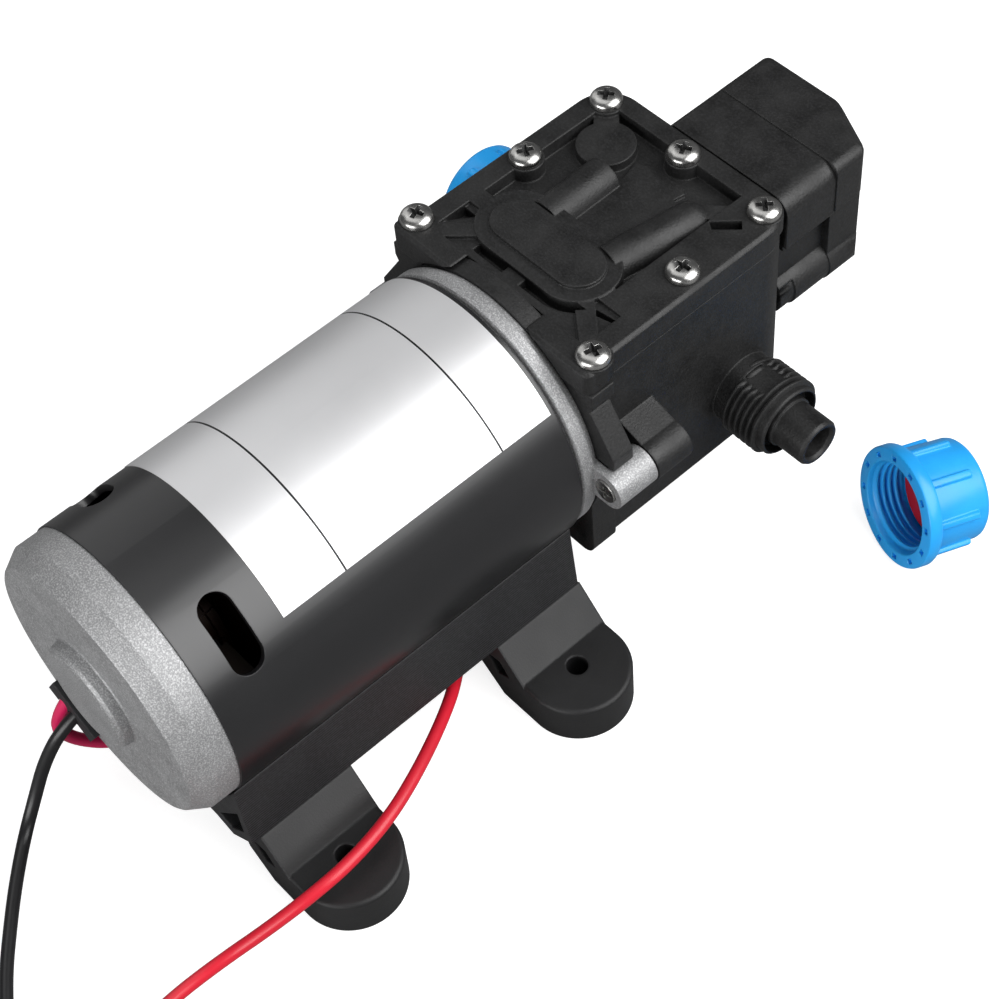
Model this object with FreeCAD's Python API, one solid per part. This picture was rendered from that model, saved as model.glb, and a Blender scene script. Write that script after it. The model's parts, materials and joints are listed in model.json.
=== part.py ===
# Self-priming diaphragm water pump for a caravan or camper, 12 V motor with pressure switch.
# Millimetres. Origin: middle of the four foot holes, on the floor.
# +Y runs along the motor axis towards the pump head, +X towards the open outlet port, +Z up.
import FreeCAD
import Part
import math
import os

V = FreeCAD.Vector
X_AXIS = V(1, 0, 0)
Y_AXIS = V(0, 1, 0)
Z_AXIS = V(0, 0, 1)

# Motor
axis_height = 57.0
shell_radius = 35.4
shell_wall = 1.8
shell_length = 99.0
shell_rear_y = -49.8
vent_width = 8.0
vent_span_deg = 31.8
vent_from_rear = 11.6
vent_first_deg = 45.0
vent_count = 4
label_half_deg = 51.1
label_from_rear = 22.5
label_from_front = 1.0
label_thickness = 0.15

# Rear end cap
cap_rim_inset = 0.4
cap_depth = 11.0
cap_edge_round = 5.0
cap_boss_radius = 12.6
cap_boss_height = 4.9
cap_boss_round = 2.2
cap_wall = 2.6
spigot_length = 4.0
spigot_wall = 1.9

# Fits and clearances
fit_gap = 0.05
touch_gap = 0.3
screw_gap = 0.1

# Shaft, bearings, magnets and armature
shaft_radius = 4.0
bearing_radius = 11.0
bearing_width = 7.0
bearing_split_radius = 7.5
magnet_thickness = 5.4
magnet_span_deg = 132.0
magnet_front_room = 12.2
magnet_from_rear = 20.0
air_gap = 1.0
core_front_room = 20.2
core_from_rear = 28.0
slot_count = 10
slot_radius = 3.0
slot_mouth = 1.6
end_turn_length = 9.0
end_turn_radius = 21.0
commutator_radius = 9.5
commutator_length = 11.0
commutator_bar_count = 10
commutator_slit = 0.5
brush_length = 11.0
brush_width = 6.0
brush_height = 7.0
brush_box_wall = 1.0
brush_plate_thickness = 2.0
brush_spring_length = 6.0
brush_spring_radius = 2.6
brush_spring_wire = 0.9
brush_spring_turns = 4

# Front flange of the motor
flange_gap = 1.0
flange_length = 5.4
flange_front_round = 1.2
flange_front_step = 0.7
flange_inset = 0.4
flange_web = 3.0
ear_stand = 3.3
ear_radius = 5.0
ear_inset = 2.1
ear_length = 11.5
ear_screw_head_radius = 3.0
ear_screw_sink = 1.2
ear_screw_proud = 0.5
ear_screw_reach = 8.0
ear_screw_slot = 0.7
ear_screw_slot_span = 3.8
ear_screw_slot_depth = 0.9

# Eccentric drive and diaphragm
throw = 1.5
crank_offset = 25.4
journal_radius = 7.5
crank_bearing_radius = 14.0
crank_bearing_split = 10.5
rod_ring_wall = 2.2
rod_head_radius = 13.0
rod_head_thickness = 2.5
chamber_gap = 0.8
chamber_end_margin = 10.0
counterweight_clearance = 0.6
counterweight_length = 5.0
hub_radius = 9.0
diaphragm_radius = 21.9
diaphragm_thickness = 2.0
diaphragm_clamp_radius = 19.2
clamp_disc_radius = 12.0
clamp_disc_thickness = 1.2

# Pump body
body_half_width = 31.0
body_drop = 31.0
body_rise = 26.0
body_length = 66.7
body_far_corner = 9.5
body_near_corner = 2.0
collar_inset = 0.8
collar_length = 5.0
lug_inset = 4.1
lug_rise = 0.2
lug_thickness = 7.2
side_boss_length = 10.5
lug_corner = 4.0
recess_clearance = 0.1

# Valves
valve_plate_thickness = 7.0
valve_web = 2.0
valve_spacing = 17.0
valve_radius = 5.0
valve_thickness = 0.9
valve_stem_radius = 1.2
valve_lift = 0.8
valve_bulb = 1.0
valve_hole_radius = 1.0
valve_hole_circle = 3.1
valve_hole_count = 4

# Top cover
cover_plate = 3.3
cover_rim_height = 3.7
cover_rim_width = 6.1
cover_far_rim_width = 5.5
cover_edge_bevel = 0.8
cover_near_drop = 1.0
cover_plateau_x = 18.6
cover_web_height = 0.8
cover_near_overhang = 0.6
dome_x = -1.8
dome_from_front = 19.9
dome_half_spacing = 10.0
dome_band_radius = 10.0
dome_top_radius = 6.4
dome_band_height = 4.0
dome_top_height = 0.9
dome_wall = 1.6
pocket_width = 2.2
channel_radius = 5.2
channel_wall = 1.3
inlet_riser_x = -16.5
inlet_riser_from_far = 14.5
outlet_riser_x = 13.6
outlet_riser_from_far = 17.5
riser_radius = 3.2
riser_boss_radius = 7.2
riser_boss_height = 2.6
gasket_thickness = 1.2
gasket_width = 1.6

# Cover screws: pan heads with a cross recess
screw_radius = 1.9
screw_head_radius = 4.0
screw_head_height = 2.6
screw_length = 16.0
cross_width = 1.0
cross_span = 4.6
cross_depth = 1.5
near_screw_inset = 1.9
near_screw_from_front = 4.5
far_screw_inset = 5.3
far_screw_from_far = 5.5
side_screw_from_far = 31.5

# Ports
port_from_far = 17.3
port_drop = 13.7
thread_root_radius = 9.32
thread_pitch = 1.814
thread_turns = 7
thread_start = 2.2
port_lip_length = 1.3
port_flat_height = 8.7
port_flat_start = 4.0
port_flat_length = 7.5
nozzle_radius = 6.1
nozzle_length = 9.4
nozzle_bore_radius = 4.3
port_recess_radius = 8.6
port_recess_depth = 3.0

# Screw caps of the ports
port_cap_length = 19.2
port_cap_radius = 13.2
port_cap_flange_radius = 15.6
port_cap_flange_length = 4.0
port_cap_end = 2.2
port_cap_crest_radius = 10.55
port_cap_root_radius = 11.5
port_cap_rib_count = 8
port_cap_rib_width = 2.4
port_cap_rib_height = 1.0
port_cap_rib_end_gap = 3.4
port_cap_bore_radius = 7.2
washer_radius = 10.3
washer_hole_radius = 6.4
washer_thickness = 2.0
washer_from_mouth = 10.0
inlet_cap_end = 62.7
loose_cap_x = 69.2
loose_cap_y = 119.9
loose_cap_azimuth_deg = 72.4

# Pressure switch
switch_left = -10.0
switch_right = 28.0
switch_top_drop = 0.2
switch_base_length = 16.2
switch_base_corner = 3.0
switch_skirt_rise = 18.0
switch_drop = 12.0
switch_lower_right = 21.0
switch_cap_length = 17.1
switch_cap_wall = 2.0
switch_chamfer_x = 15.3
switch_chamfer_y = 7.4
switch_tube_x = 21.4
switch_tube_drop = 1.2
switch_tube_radius = 6.5
switch_tube_step = 4.6
switch_bore_x = 8.0
switch_bore_rise = 7.0
switch_bore_radius = 9.0
switch_plunger_radius = 3.0
switch_plunger_head_radius = 7.0
switch_plunger_head = 2.0
switch_plunger_length = 17.0
switch_seal_thickness = 1.5
switch_travel = 1.2
switch_spring_radius = 5.2
switch_spring_wire = 0.9
switch_spring_turns = 4
micro_switch_width = 20.0
micro_switch_height = 11.0
switch_port_radius = 1.5
switch_screw_inset = 4.5
switch_screw_radius = 1.4
switch_screw_right_x = 16.0
switch_screw_head_radius = 2.6
switch_screw_head_height = 1.8

# Base saddle and feet
saddle_front_inset = 0.8
saddle_rear_reach = 1.4
saddle_seat_gap = 0.1
saddle_top_inset = 4.2
saddle_skirt_inset = 2.4
saddle_skirt_drop = 2.0
saddle_lip_inset = 10.9
saddle_lip_drop = 8.7
saddle_floor = 7.0
saddle_wall = 2.6
foot_hole_spacing_x = 91.4
foot_hole_spacing_y = 71.5
foot_hole_radius = 2.65
foot_width = 26.4
foot_thickness = 11.5
foot_pad_run = 4.9
foot_heel_out = 0.7
foot_heel_rise = 6.4
foot_heel_in = 1.7
foot_edge_round = 1.0
foot_pocket_depth = 3.3
foot_tongue_width = 14.0
foot_tongue_height = 4.0
foot_tongue_thickness = 3.0
base_screw_radius = 1.9
base_screw_head_radius = 3.6
base_screw_head_height = 2.0
base_screw_y = 22.0

# Leads
lead_radius = 1.6
strand_radius = 0.8
strand_length = 7.0
grommet_deg = 211.6
grommet_width = 15.6
grommet_length = 10.2
grommet_inner = 24.6
grommet_outer = 31.6
grommet_from_rear = 3.0
grommet_flat_width = 28.0
grommet_flat_from_rear = 2.7
switch_gland_radius = 5.6
switch_gland_height = 5.0
switch_gland_x = 0.0
switch_gland_from_far = 24.5

# Routes of the leads, points chosen by hand
black_route = [
    V(-14.3, -58.6, 33.4),
    V(-15.4, -66.4, 29.2),
    V(-17.6, -72.6, 18.6),
    V(-17.9, -77.6, 8.8),
    V(-15.6, -83.6, 2.6),
    V(-9.6, -90.2, 1.7),
    V(-1.8, -97.5, 1.7),
    V(13.0, -110.0, 1.7),
    V(31.0, -120.4, 1.7),
    V(49.0, -127.6, 1.7),
]
red_route = [
    V(3.0, 146.8, 39.7),
    V(3.0, 146.8, 28.0),
    V(2.6, 139.0, 13.5),
    V(1.6, 122.0, 4.6),
    V(-2.0, 96.0, 1.8),
    V(-3.0, 66.0, 1.8),
    V(2.0, 44.0, 1.9),
    V(12.0, 29.0, 3.0),
    V(27.2, 13.6, 8.3),
    V(35.5, 2.2, 13.0),
    V(43.0, -11.4, 16.0),
    V(48.4, -24.4, 17.6),
    V(50.9, -37.4, 18.0),
    V(51.0, -48.0, 17.4),
    V(47.4, -59.2, 10.8),
    V(42.3, -71.4, 3.0),
    V(41.2, -85.2, 1.7),
    V(43.0, -104.0, 1.7),
    V(50.4, -121.0, 1.7),
]
jumper_route = [
    V(-3.0, 146.8, 39.7),
    V(-3.0, 146.8, 28.0),
    V(-3.4, 139.0, 13.5),
    V(-5.0, 122.0, 4.6),
    V(-9.4, 96.0, 1.8),
    V(-11.4, 66.0, 1.8),
    V(-11.0, 38.0, 2.2),
    V(-9.0, 10.0, 4.0),
    V(-9.4, -18.0, 5.4),
    V(-12.6, -40.0, 6.4),
    V(-16.0, -55.0, 8.6),
    V(-20.0, -63.8, 16.0),
    V(-20.6, -66.4, 26.0),
    V(-17.3, -60.4, 35.4),
]

# Values worked out from the sizes above
shell_bore = shell_radius - shell_wall
shell_front_y = shell_rear_y + shell_length
shell_bottom_z = axis_height - shell_radius
vent_y = shell_rear_y + vent_from_rear
cap_rear_y = shell_rear_y - cap_depth
boss_rear_y = cap_rear_y - cap_boss_height
rear_bearing_y = boss_rear_y + cap_wall
flange_y = shell_front_y + flange_gap
body_y = flange_y + flange_length
flange_radius = shell_radius - flange_inset
ear_offset = shell_radius + ear_stand
ear_y = body_y - ear_inset
ear_end_y = ear_y + ear_length
collar_radius = shell_radius - collar_inset
lug_half_width = shell_radius - lug_inset
lug_bottom_z = shell_bottom_z + lug_rise
body_bottom_z = axis_height - body_drop
body_top_z = axis_height + body_rise
front_bearing_y = body_y - bearing_width
core_y = shell_rear_y + core_from_rear
core_length = shell_length - core_from_rear - core_front_room
magnet_length = shell_length - magnet_from_rear - magnet_front_room
core_radius = shell_bore - fit_gap - magnet_thickness - air_gap
crank_y = body_y + crank_offset
crank_z = axis_height + throw
rod_ring_radius = crank_bearing_radius + rod_ring_wall
chamber_radius = rod_ring_radius + throw + chamber_gap
crank_half_width = bearing_width / 2
chamber_far_y = crank_y + crank_half_width + chamber_end_margin
shaft_front_y = crank_y + crank_half_width + 4.0
recess_z = body_top_z - valve_plate_thickness - diaphragm_thickness
plate_z = recess_z + diaphragm_thickness
recess_radius = diaphragm_radius + recess_clearance
valve_roof_z = body_top_z - valve_web
rod_head_top = recess_z + throw
counterweight_room = rod_head_top - rod_head_thickness - 2 * throw - axis_height
counterweight_radius = counterweight_room - counterweight_clearance
body_far_y = body_y + body_length
cover_z = body_top_z
field_z = cover_z + cover_plate
cover_top_z = field_z + cover_rim_height
dome_y = body_y + dome_from_front
band_z = field_z + dome_band_height
dome_top_z = band_z + dome_top_height
near_screw_x = body_half_width - near_screw_inset
far_screw_x = body_half_width - far_screw_inset
port_y = body_far_y - port_from_far
port_height = axis_height - port_drop
port_thread_end = body_half_width + thread_start + thread_turns * thread_pitch + port_lip_length
nozzle_end = port_thread_end + nozzle_length
inlet_riser_y = body_far_y - inlet_riser_from_far
outlet_riser_y = body_far_y - outlet_riser_from_far
switch_y = body_far_y
switch_seam_y = switch_y + switch_base_length
switch_end_y = switch_seam_y + switch_cap_length
switch_top_z = cover_top_z - switch_top_drop
switch_skirt_z = axis_height + switch_skirt_rise
switch_bottom_z = axis_height - switch_drop
switch_tube_z = axis_height - switch_tube_drop
switch_bore_z = axis_height + switch_bore_rise
seal_y = switch_y + switch_seal_thickness
gland_y = switch_y + switch_gland_from_far
saddle_front_y = shell_front_y - saddle_front_inset
saddle_rear_y = shell_rear_y - saddle_rear_reach
saddle_top_x = shell_radius - saddle_top_inset
saddle_skirt_x = shell_radius - saddle_skirt_inset
saddle_skirt_z = shell_bottom_z - saddle_skirt_drop
saddle_lip_x = shell_radius - saddle_lip_inset
saddle_lip_z = shell_bottom_z - saddle_lip_drop
saddle_bottom_z = shell_bottom_z - saddle_floor
foot_hole_x = foot_hole_spacing_x / 2
foot_pad_inner_x = foot_hole_x - foot_pad_run
foot_heel_x = saddle_skirt_x + foot_heel_out
foot_heel_inner_x = saddle_lip_x + foot_heel_in


def box(x0, x1, y0, y1, z0, z1):
    return Part.makeBox(x1 - x0, y1 - y0, z1 - z0, V(x0, y0, z0))


def cylinder_y(radius, y0, y1, x=0.0, z=axis_height):
    return Part.makeCylinder(radius, y1 - y0, V(x, y0, z), Y_AXIS)


def cylinder_x(radius, x0, x1, y, z):
    return Part.makeCylinder(radius, x1 - x0, V(x0, y, z), X_AXIS)


def cylinder_z(radius, z0, z1, x, y):
    return Part.makeCylinder(radius, z1 - z0, V(x, y, z0), Z_AXIS)


def ring_y(outer, inner, y0, y1, x=0.0, z=axis_height):
    return cylinder_y(outer, y0, y1, x, z).cut(cylinder_y(inner, y0, y1, x, z))


def turned(profile, origin, along, across):
    """Solid of revolution from (distance along, radius) points."""
    points = [origin + along * a + across * r for a, r in profile]
    face = Part.Face(Part.makePolygon(points + points[:1]))
    return face.revolve(origin, along, 360)


def turned_y(profile, x=0.0, z=axis_height):
    return turned(profile, V(x, 0, z), Y_AXIS, Z_AXIS)


def turned_z(profile, x, y):
    return turned(profile, V(x, y, 0), Z_AXIS, X_AXIS)


def prism(points, direction):
    return Part.Face(Part.makePolygon(points + points[:1])).extrude(direction)


def obround(x, y, half_spacing, radius, z0, z1):
    """Slot-shaped block, long side along X."""
    left = cylinder_z(radius, z0, z1, x - half_spacing, y)
    right = cylinder_z(radius, z0, z1, x + half_spacing, y)
    middle = box(x - half_spacing, x + half_spacing, y - radius, y + radius, z0, z1)
    return fused([middle, left, right])


def fused(shapes):
    return shapes[0].multiFuse(shapes[1:]).removeSplitter()


def around_axis(shape, degrees):
    """Copy of a shape turned about the motor axis."""
    copy = shape.copy()
    copy.rotate(V(0, 0, axis_height), Y_AXIS, degrees)
    return copy


def mirrored_x(shape):
    return shape.mirror(V(0, 0, 0), X_AXIS)


def circles_at(shape, axis, level, radius):
    """Round edges of one radius that lie at one level along an axis."""
    found = []
    for edge in shape.Edges:
        curve = edge.Curve
        if isinstance(curve, Part.Circle) and abs(curve.Radius - radius) < 0.01:
            if abs(curve.Center.dot(axis) - level) < 0.01:
                found.append(edge)
    return found


def upright_edges(shape, x, y):
    """Vertical edges at one place in plan."""
    found = []
    for edge in shape.Edges:
        ends = [vertex.Point for vertex in edge.Vertexes]
        if len(ends) == 2 and all(math.hypot(p.x - x, p.y - y) < 0.01 for p in ends):
            found.append(edge)
    return found


def cross_recess(depth_top, x, y):
    """Cross-shaped cutter for a screw head that faces up."""
    z0 = depth_top - cross_depth
    z1 = depth_top + 1.0
    one = box(x - cross_span / 2, x + cross_span / 2, y - cross_width / 2, y + cross_width / 2, z0, z1)
    two = box(x - cross_width / 2, x + cross_width / 2, y - cross_span / 2, y + cross_span / 2, z0, z1)
    return one.fuse(two)


def pan_screw(x, y, seat_z, length):
    """Pan-head screw that points down from its seat."""
    top = seat_z + screw_head_height
    profile = [
        (seat_z - length, 0),
        (seat_z - length, screw_radius),
        (seat_z, screw_radius),
        (seat_z, screw_head_radius),
        (seat_z + 1.1, screw_head_radius),
        (top, screw_head_radius * 0.62),
        (top, 0),
    ]
    return turned_z(profile, x, y)


# Motor shell, label and rear end cap
def vent_cutter(degrees):
    half = vent_span_deg / 2 - math.degrees(vent_width / 2 / shell_radius)
    inner = shell_bore - 3
    outer = shell_radius + 2
    y0 = vent_y - vent_width / 2
    y1 = vent_y + vent_width / 2
    ends = []
    for side in (-half, half):
        end = cylinder_z(vent_width / 2, axis_height + inner, axis_height + outer, 0, vent_y)
        ends.append(around_axis(end, side))
    tube = ring_y(outer, inner, y0, y1)
    wedge = wedge_y(-half, half, y0, y1, outer + 4)
    return around_axis(fused([tube.common(wedge)] + ends), degrees)


def wedge_y(start_deg, end_deg, y0, y1, reach):
    """Wedge about the motor axis, angles from straight up towards +X."""
    start = math.radians(start_deg)
    end = math.radians(end_deg)
    middle = (start + end) / 2
    far = reach / math.cos((end - start) / 2) if end - start < math.radians(140) else reach * 3
    points = [
        V(0, y0, axis_height),
        V(far * math.sin(start), y0, axis_height + far * math.cos(start)),
        V(far * math.sin(middle) * 1.2, y0, axis_height + far * math.cos(middle) * 1.2),
        V(far * math.sin(end), y0, axis_height + far * math.cos(end)),
    ]
    return prism(points, V(0, y1 - y0, 0))


def make_motor_shell():
    shell = ring_y(shell_radius, shell_bore, shell_rear_y, shell_front_y)
    for number in range(vent_count):
        shell = shell.cut(vent_cutter(vent_first_deg + number * 360 / vent_count))
    return shell


def make_foil_label():
    y0 = shell_rear_y + label_from_rear
    y1 = shell_front_y - label_from_front
    sheet = ring_y(shell_radius + label_thickness + 0.02, shell_radius + 0.02, y0, y1)
    return sheet.common(wedge_y(-label_half_deg, label_half_deg, y0, y1, shell_radius + 2))


def grommet_block(extra):
    """Block through the edge of the rear cap where the leads come out."""
    y1 = shell_rear_y - grommet_from_rear + extra
    y0 = y1 - grommet_length - 2 * extra
    half = grommet_width / 2 + extra
    inner = axis_height + grommet_inner - extra
    outer = axis_height + grommet_outer + extra
    return around_axis(box(-half, half, y0, y1, inner, outer), grommet_deg)


def grommet_flat():
    """Cutter for the flat on the rim of the rear cap, above the grommet."""
    half = grommet_flat_width / 2
    rim = shell_radius - cap_rim_inset
    level = axis_height + math.sqrt(rim ** 2 - half ** 2)
    y1 = shell_rear_y - grommet_flat_from_rear
    block = box(-half, half, cap_rear_y - 1, y1, level, axis_height + rim + 1)
    return around_axis(block, grommet_deg)


def make_rear_end_cap():
    rim = shell_radius - cap_rim_inset
    spigot = shell_bore - fit_gap
    cavity = spigot - spigot_wall
    face = rim - cap_edge_round
    floor_y = cap_rear_y + cap_wall
    profile = [
        (shell_rear_y + spigot_length, cavity),
        (shell_rear_y + spigot_length, spigot),
        (shell_rear_y, spigot),
        (shell_rear_y, rim),
        (cap_rear_y, rim),
        (cap_rear_y, cap_boss_radius),
        (boss_rear_y, cap_boss_radius),
        (boss_rear_y, 0),
        (rear_bearing_y, 0),
        (rear_bearing_y, bearing_radius),
        (rear_bearing_y + bearing_width, bearing_radius),
        (rear_bearing_y + bearing_width, bearing_radius + cap_wall),
        (floor_y, bearing_radius + cap_wall),
        (floor_y, face - cap_wall),
        (cap_rear_y + cap_edge_round, cavity),
    ]
    cap = turned_y(profile)
    cap = cap.makeFillet(cap_edge_round, circles_at(cap, Y_AXIS, cap_rear_y, rim))
    cap = cap.makeFillet(cap_boss_round, circles_at(cap, Y_AXIS, boss_rear_y, cap_boss_radius))
    return cap.cut([grommet_flat(), grommet_block(fit_gap)])


def lead_hole(inner, outer):
    """Blind hole that takes the end of a lead."""
    return Part.makeCylinder(lead_radius + fit_gap, 20.0, inner, outer - inner)


def make_motor_grommet():
    holes = [lead_hole(black_route[0], black_route[1]), lead_hole(jumper_route[-1], jumper_route[-2])]
    return grommet_block(0.0).cut(holes)


# Shaft, bearings, magnets, armature and brushes
def bearing_outer(y0, outer, split, z=axis_height):
    return ring_y(outer, split + fit_gap / 2, y0, y0 + bearing_width, 0.0, z)


def bearing_inner(y0, inner, split, z=axis_height):
    return ring_y(split - fit_gap / 2, inner, y0, y0 + bearing_width, 0.0, z)


def make_motor_shaft():
    return cylinder_y(shaft_radius, rear_bearing_y + 0.4, shaft_front_y)


def make_field_magnets():
    y0 = shell_rear_y + magnet_from_rear
    y1 = y0 + magnet_length
    outer = shell_bore - fit_gap
    tube = ring_y(outer, outer - magnet_thickness, y0, y1)
    half = magnet_span_deg / 2
    magnets = []
    for middle in (90, 270):
        magnets.append(around_axis(tube.common(wedge_y(-half, half, y0, y1, outer + 2)), middle))
    return Part.makeCompound(magnets)


def slot_bar(number, radius, y0, y1):
    bar = cylinder_y(radius, y0, y1, 0.0, axis_height + core_radius - slot_radius - 2.4)
    return around_axis(bar, number * 360 / slot_count)


def make_armature_core():
    y1 = core_y + core_length
    core = ring_y(core_radius, shaft_radius, core_y, y1)
    cutters = []
    for number in range(slot_count):
        cutters.append(slot_bar(number, slot_radius, core_y, y1))
        rim_z = axis_height + core_radius
        mouth = box(-slot_mouth / 2, slot_mouth / 2, core_y, y1, rim_z - 4, rim_z + 1)
        cutters.append(around_axis(mouth, number * 360 / slot_count))
    return core.cut(cutters)


def make_armature_windings():
    y1 = core_y + core_length
    inner = shaft_radius + 4
    heads = []
    for start, outward in ((y1, 1), (core_y, -1)):
        shoulder = start + outward * (end_turn_length - 3)
        end = start + outward * end_turn_length
        profile = [
            (start, inner),
            (start, core_radius - 3),
            (shoulder, end_turn_radius),
            (end, end_turn_radius - 4),
            (end, inner),
        ]
        heads.append(turned_y(profile))
    bars = [slot_bar(number, slot_radius - fit_gap, core_y, y1) for number in range(slot_count)]
    return fused(heads + bars)


def make_commutator():
    y1 = core_y - end_turn_length - 1.5
    y0 = y1 - commutator_length
    riser = ring_y(commutator_radius + 2, shaft_radius, y1 - 2.0, y1)
    barrel = ring_y(commutator_radius, shaft_radius, y0, y1)
    slits = []
    half = commutator_slit / 2
    top = axis_height + commutator_radius
    for number in range(commutator_bar_count):
        slit = box(-half, half, y0, y1, top - 1, top + 3)
        slits.append(around_axis(slit, number * 360 / commutator_bar_count))
    return fused([barrel, riser]).cut(slits)


def brush_span():
    y1 = core_y - end_turn_length - 1.5 - 3.0
    return y1 - brush_width, y1


def brush_start():
    return commutator_radius + touch_gap


def make_carbon_brushes():
    y0, y1 = brush_span()
    start = brush_start()
    half = brush_height / 2
    brush = box(start, start + brush_length, y0, y1, axis_height - half, axis_height + half)
    return Part.makeCompound([brush, mirrored_x(brush)])


def ribbed_sleeve(radius, wire, length, turns, origin, along, across):
    """Hidden coil spring, drawn as a sleeve with one ridge for each turn."""
    step = length / turns
    profile = [(0, radius - wire)]
    for turn in range(turns):
        profile.append((turn * step, radius - wire / 2))
        profile.append((turn * step + step / 2, radius))
    profile.append((length, radius - wire / 2))
    profile.append((length, radius - wire))
    return turned(profile, origin, along, across)


def make_brush_springs():
    y0, y1 = brush_span()
    start = V(brush_start() + brush_length, (y0 + y1) / 2, axis_height)
    spring = ribbed_sleeve(
        brush_spring_radius,
        brush_spring_wire,
        brush_spring_length,
        brush_spring_turns,
        start,
        X_AXIS,
        Z_AXIS,
    )
    return Part.makeCompound([spring, mirrored_x(spring)])


def make_brush_holder():
    plate_y = shell_rear_y + spigot_length
    plate = ring_y(shell_bore - fit_gap, commutator_radius + 4, plate_y, plate_y + brush_plate_thickness)
    y0, y1 = brush_span()
    half_height = brush_height / 2 + fit_gap
    start = brush_start() + 3
    end = brush_start() + brush_length + brush_spring_length
    wall = brush_box_wall
    low = axis_height - half_height
    high = axis_height + half_height
    outer = box(start, end + wall, plate_y, y1 + wall, low - wall, high + wall)
    inner = box(start - 1, end, y0 - fit_gap, y1 + fit_gap, low, high)
    guide = outer.cut(inner)
    return fused([plate, guide, mirrored_x(guide)]).cut([inner, mirrored_x(inner)])


# Front flange and pump drive
def ear_boss(radius, y0, y1, side):
    return cylinder_y(radius, y0, y1, side * ear_offset, axis_height)


def make_front_flange():
    spigot = shell_bore - fit_gap
    seat = bearing_radius
    profile = [
        (shell_front_y - spigot_length, spigot - spigot_wall),
        (shell_front_y - spigot_length, spigot),
        (flange_y, spigot),
        (flange_y, flange_radius - 0.5),
        (flange_y + 0.5, flange_radius),
        (body_y - flange_front_step - flange_front_round, flange_radius),
        (body_y - flange_front_step - flange_front_round * 0.3, flange_radius - flange_front_round * 0.3),
        (body_y - flange_front_step, flange_radius - flange_front_round),
        (body_y, flange_radius - flange_front_round),
        (body_y, seat),
        (front_bearing_y, seat),
        (front_bearing_y, seat - 2.0),
        (front_bearing_y - flange_web, seat - 2.0),
        (front_bearing_y - flange_web, seat + 3.0),
        (body_y - flange_web, seat + 3.0),
        (body_y - flange_web, spigot - spigot_wall),
    ]
    flange = turned_y(profile)
    for side in (-1, 1):
        boss = ear_boss(ear_radius, ear_y, ear_end_y, side)
        x_inner = side * (flange_radius - 4)
        x_outer = side * ear_offset
        x_low, x_high = min(x_inner, x_outer), max(x_inner, x_outer)
        web = box(x_low, x_high, ear_y, body_y, axis_height - ear_radius, axis_height + ear_radius)
        flange = flange.fuse([boss, web]).removeSplitter()
        flange = flange.cut(ear_boss(screw_radius + screw_gap, ear_y - 1, ear_end_y + 1, side))
        head_room = ear_boss(ear_screw_head_radius + screw_gap, ear_y - 1, ear_y + ear_screw_sink, side)
        flange = flange.cut(head_room)
    return flange


def make_head_screws():
    """Two screws through the ears, heads sunk in the ears."""
    screws = []
    width = ear_screw_slot / 2
    span = ear_screw_slot_span / 2
    y0 = ear_y - ear_screw_proud
    slot_y = y0 + ear_screw_slot_depth
    for side in (-1, 1):
        x = side * ear_offset
        head = ear_boss(ear_screw_head_radius, y0, ear_y + ear_screw_sink, side)
        shank = ear_boss(screw_radius, ear_y + ear_screw_sink, ear_end_y + ear_screw_reach, side)
        one = box(x - span, x + span, y0 - 1, slot_y, axis_height - width, axis_height + width)
        two = box(x - width, x + width, y0 - 1, slot_y, axis_height - span, axis_height + span)
        screws.append(head.fuse(shank).removeSplitter().cut([one, two]))
    return Part.makeCompound(screws)


def make_eccentric():
    journal_y0 = crank_y - crank_half_width
    shoulder_y = journal_y0 - 1.5
    weight_y = shoulder_y - counterweight_length
    journal = cylinder_y(journal_radius, shoulder_y, crank_y + crank_half_width, 0.0, crank_z)
    shoulder = cylinder_y(journal_radius + 1.5, shoulder_y, journal_y0, 0.0, crank_z)
    hub = cylinder_y(hub_radius, weight_y - 3.0, shoulder_y)
    disc = cylinder_y(counterweight_radius, weight_y, shoulder_y)
    wide = counterweight_radius + 1
    lower = box(-wide, wide, weight_y, shoulder_y, axis_height - wide, axis_height)
    solid = fused([journal, shoulder, hub, disc.common(lower)])
    bore = cylinder_y(shaft_radius, weight_y - 4.0, crank_y + crank_half_width + 1.0)
    return solid.cut([bore, set_screw_shape(screw_gap)])


def set_screw_shape(extra):
    y = crank_y - crank_half_width - 1.5 - counterweight_length / 2
    z0 = axis_height + shaft_radius - extra
    return Part.makeCylinder(1.5 + extra, hub_radius - shaft_radius + extra, V(0, y, z0), Z_AXIS)


def make_eccentric_set_screw():
    return set_screw_shape(0.0).cut(cylinder_y(shaft_radius, crank_y - 30, crank_y))


def make_crank_retainer():
    """Spring clip on the shaft that keeps the crank bearing on its journal."""
    y0 = crank_y + crank_half_width
    return ring_y(journal_radius + 1.2, shaft_radius, y0, y0 + 1.2)


def make_connecting_rod():
    y0 = crank_y - crank_half_width
    y1 = crank_y + crank_half_width
    ring = ring_y(rod_ring_radius, crank_bearing_radius, y0, y1, 0.0, crank_z)
    head = cylinder_z(rod_head_radius, rod_head_top - rod_head_thickness, rod_head_top, 0.0, crank_y)
    neck_z = crank_z + crank_bearing_radius - 4.0
    under_head = rod_head_top - rod_head_thickness + 0.5
    neck = box(-9, 9, y0, y1, neck_z, under_head)
    gusset = box(-2, 2, crank_y, crank_y + rod_head_radius - 5, neck_z + 2, under_head)
    rod = fused([ring, head, neck, gusset])
    rod = rod.cut(cylinder_y(crank_bearing_radius, y0 - 8, y1 + 8, 0.0, crank_z))
    bore_z = crank_z + crank_bearing_radius - 1
    return rod.cut(cylinder_z(screw_radius + screw_gap, bore_z, rod_head_top + 1, 0.0, crank_y))


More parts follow.
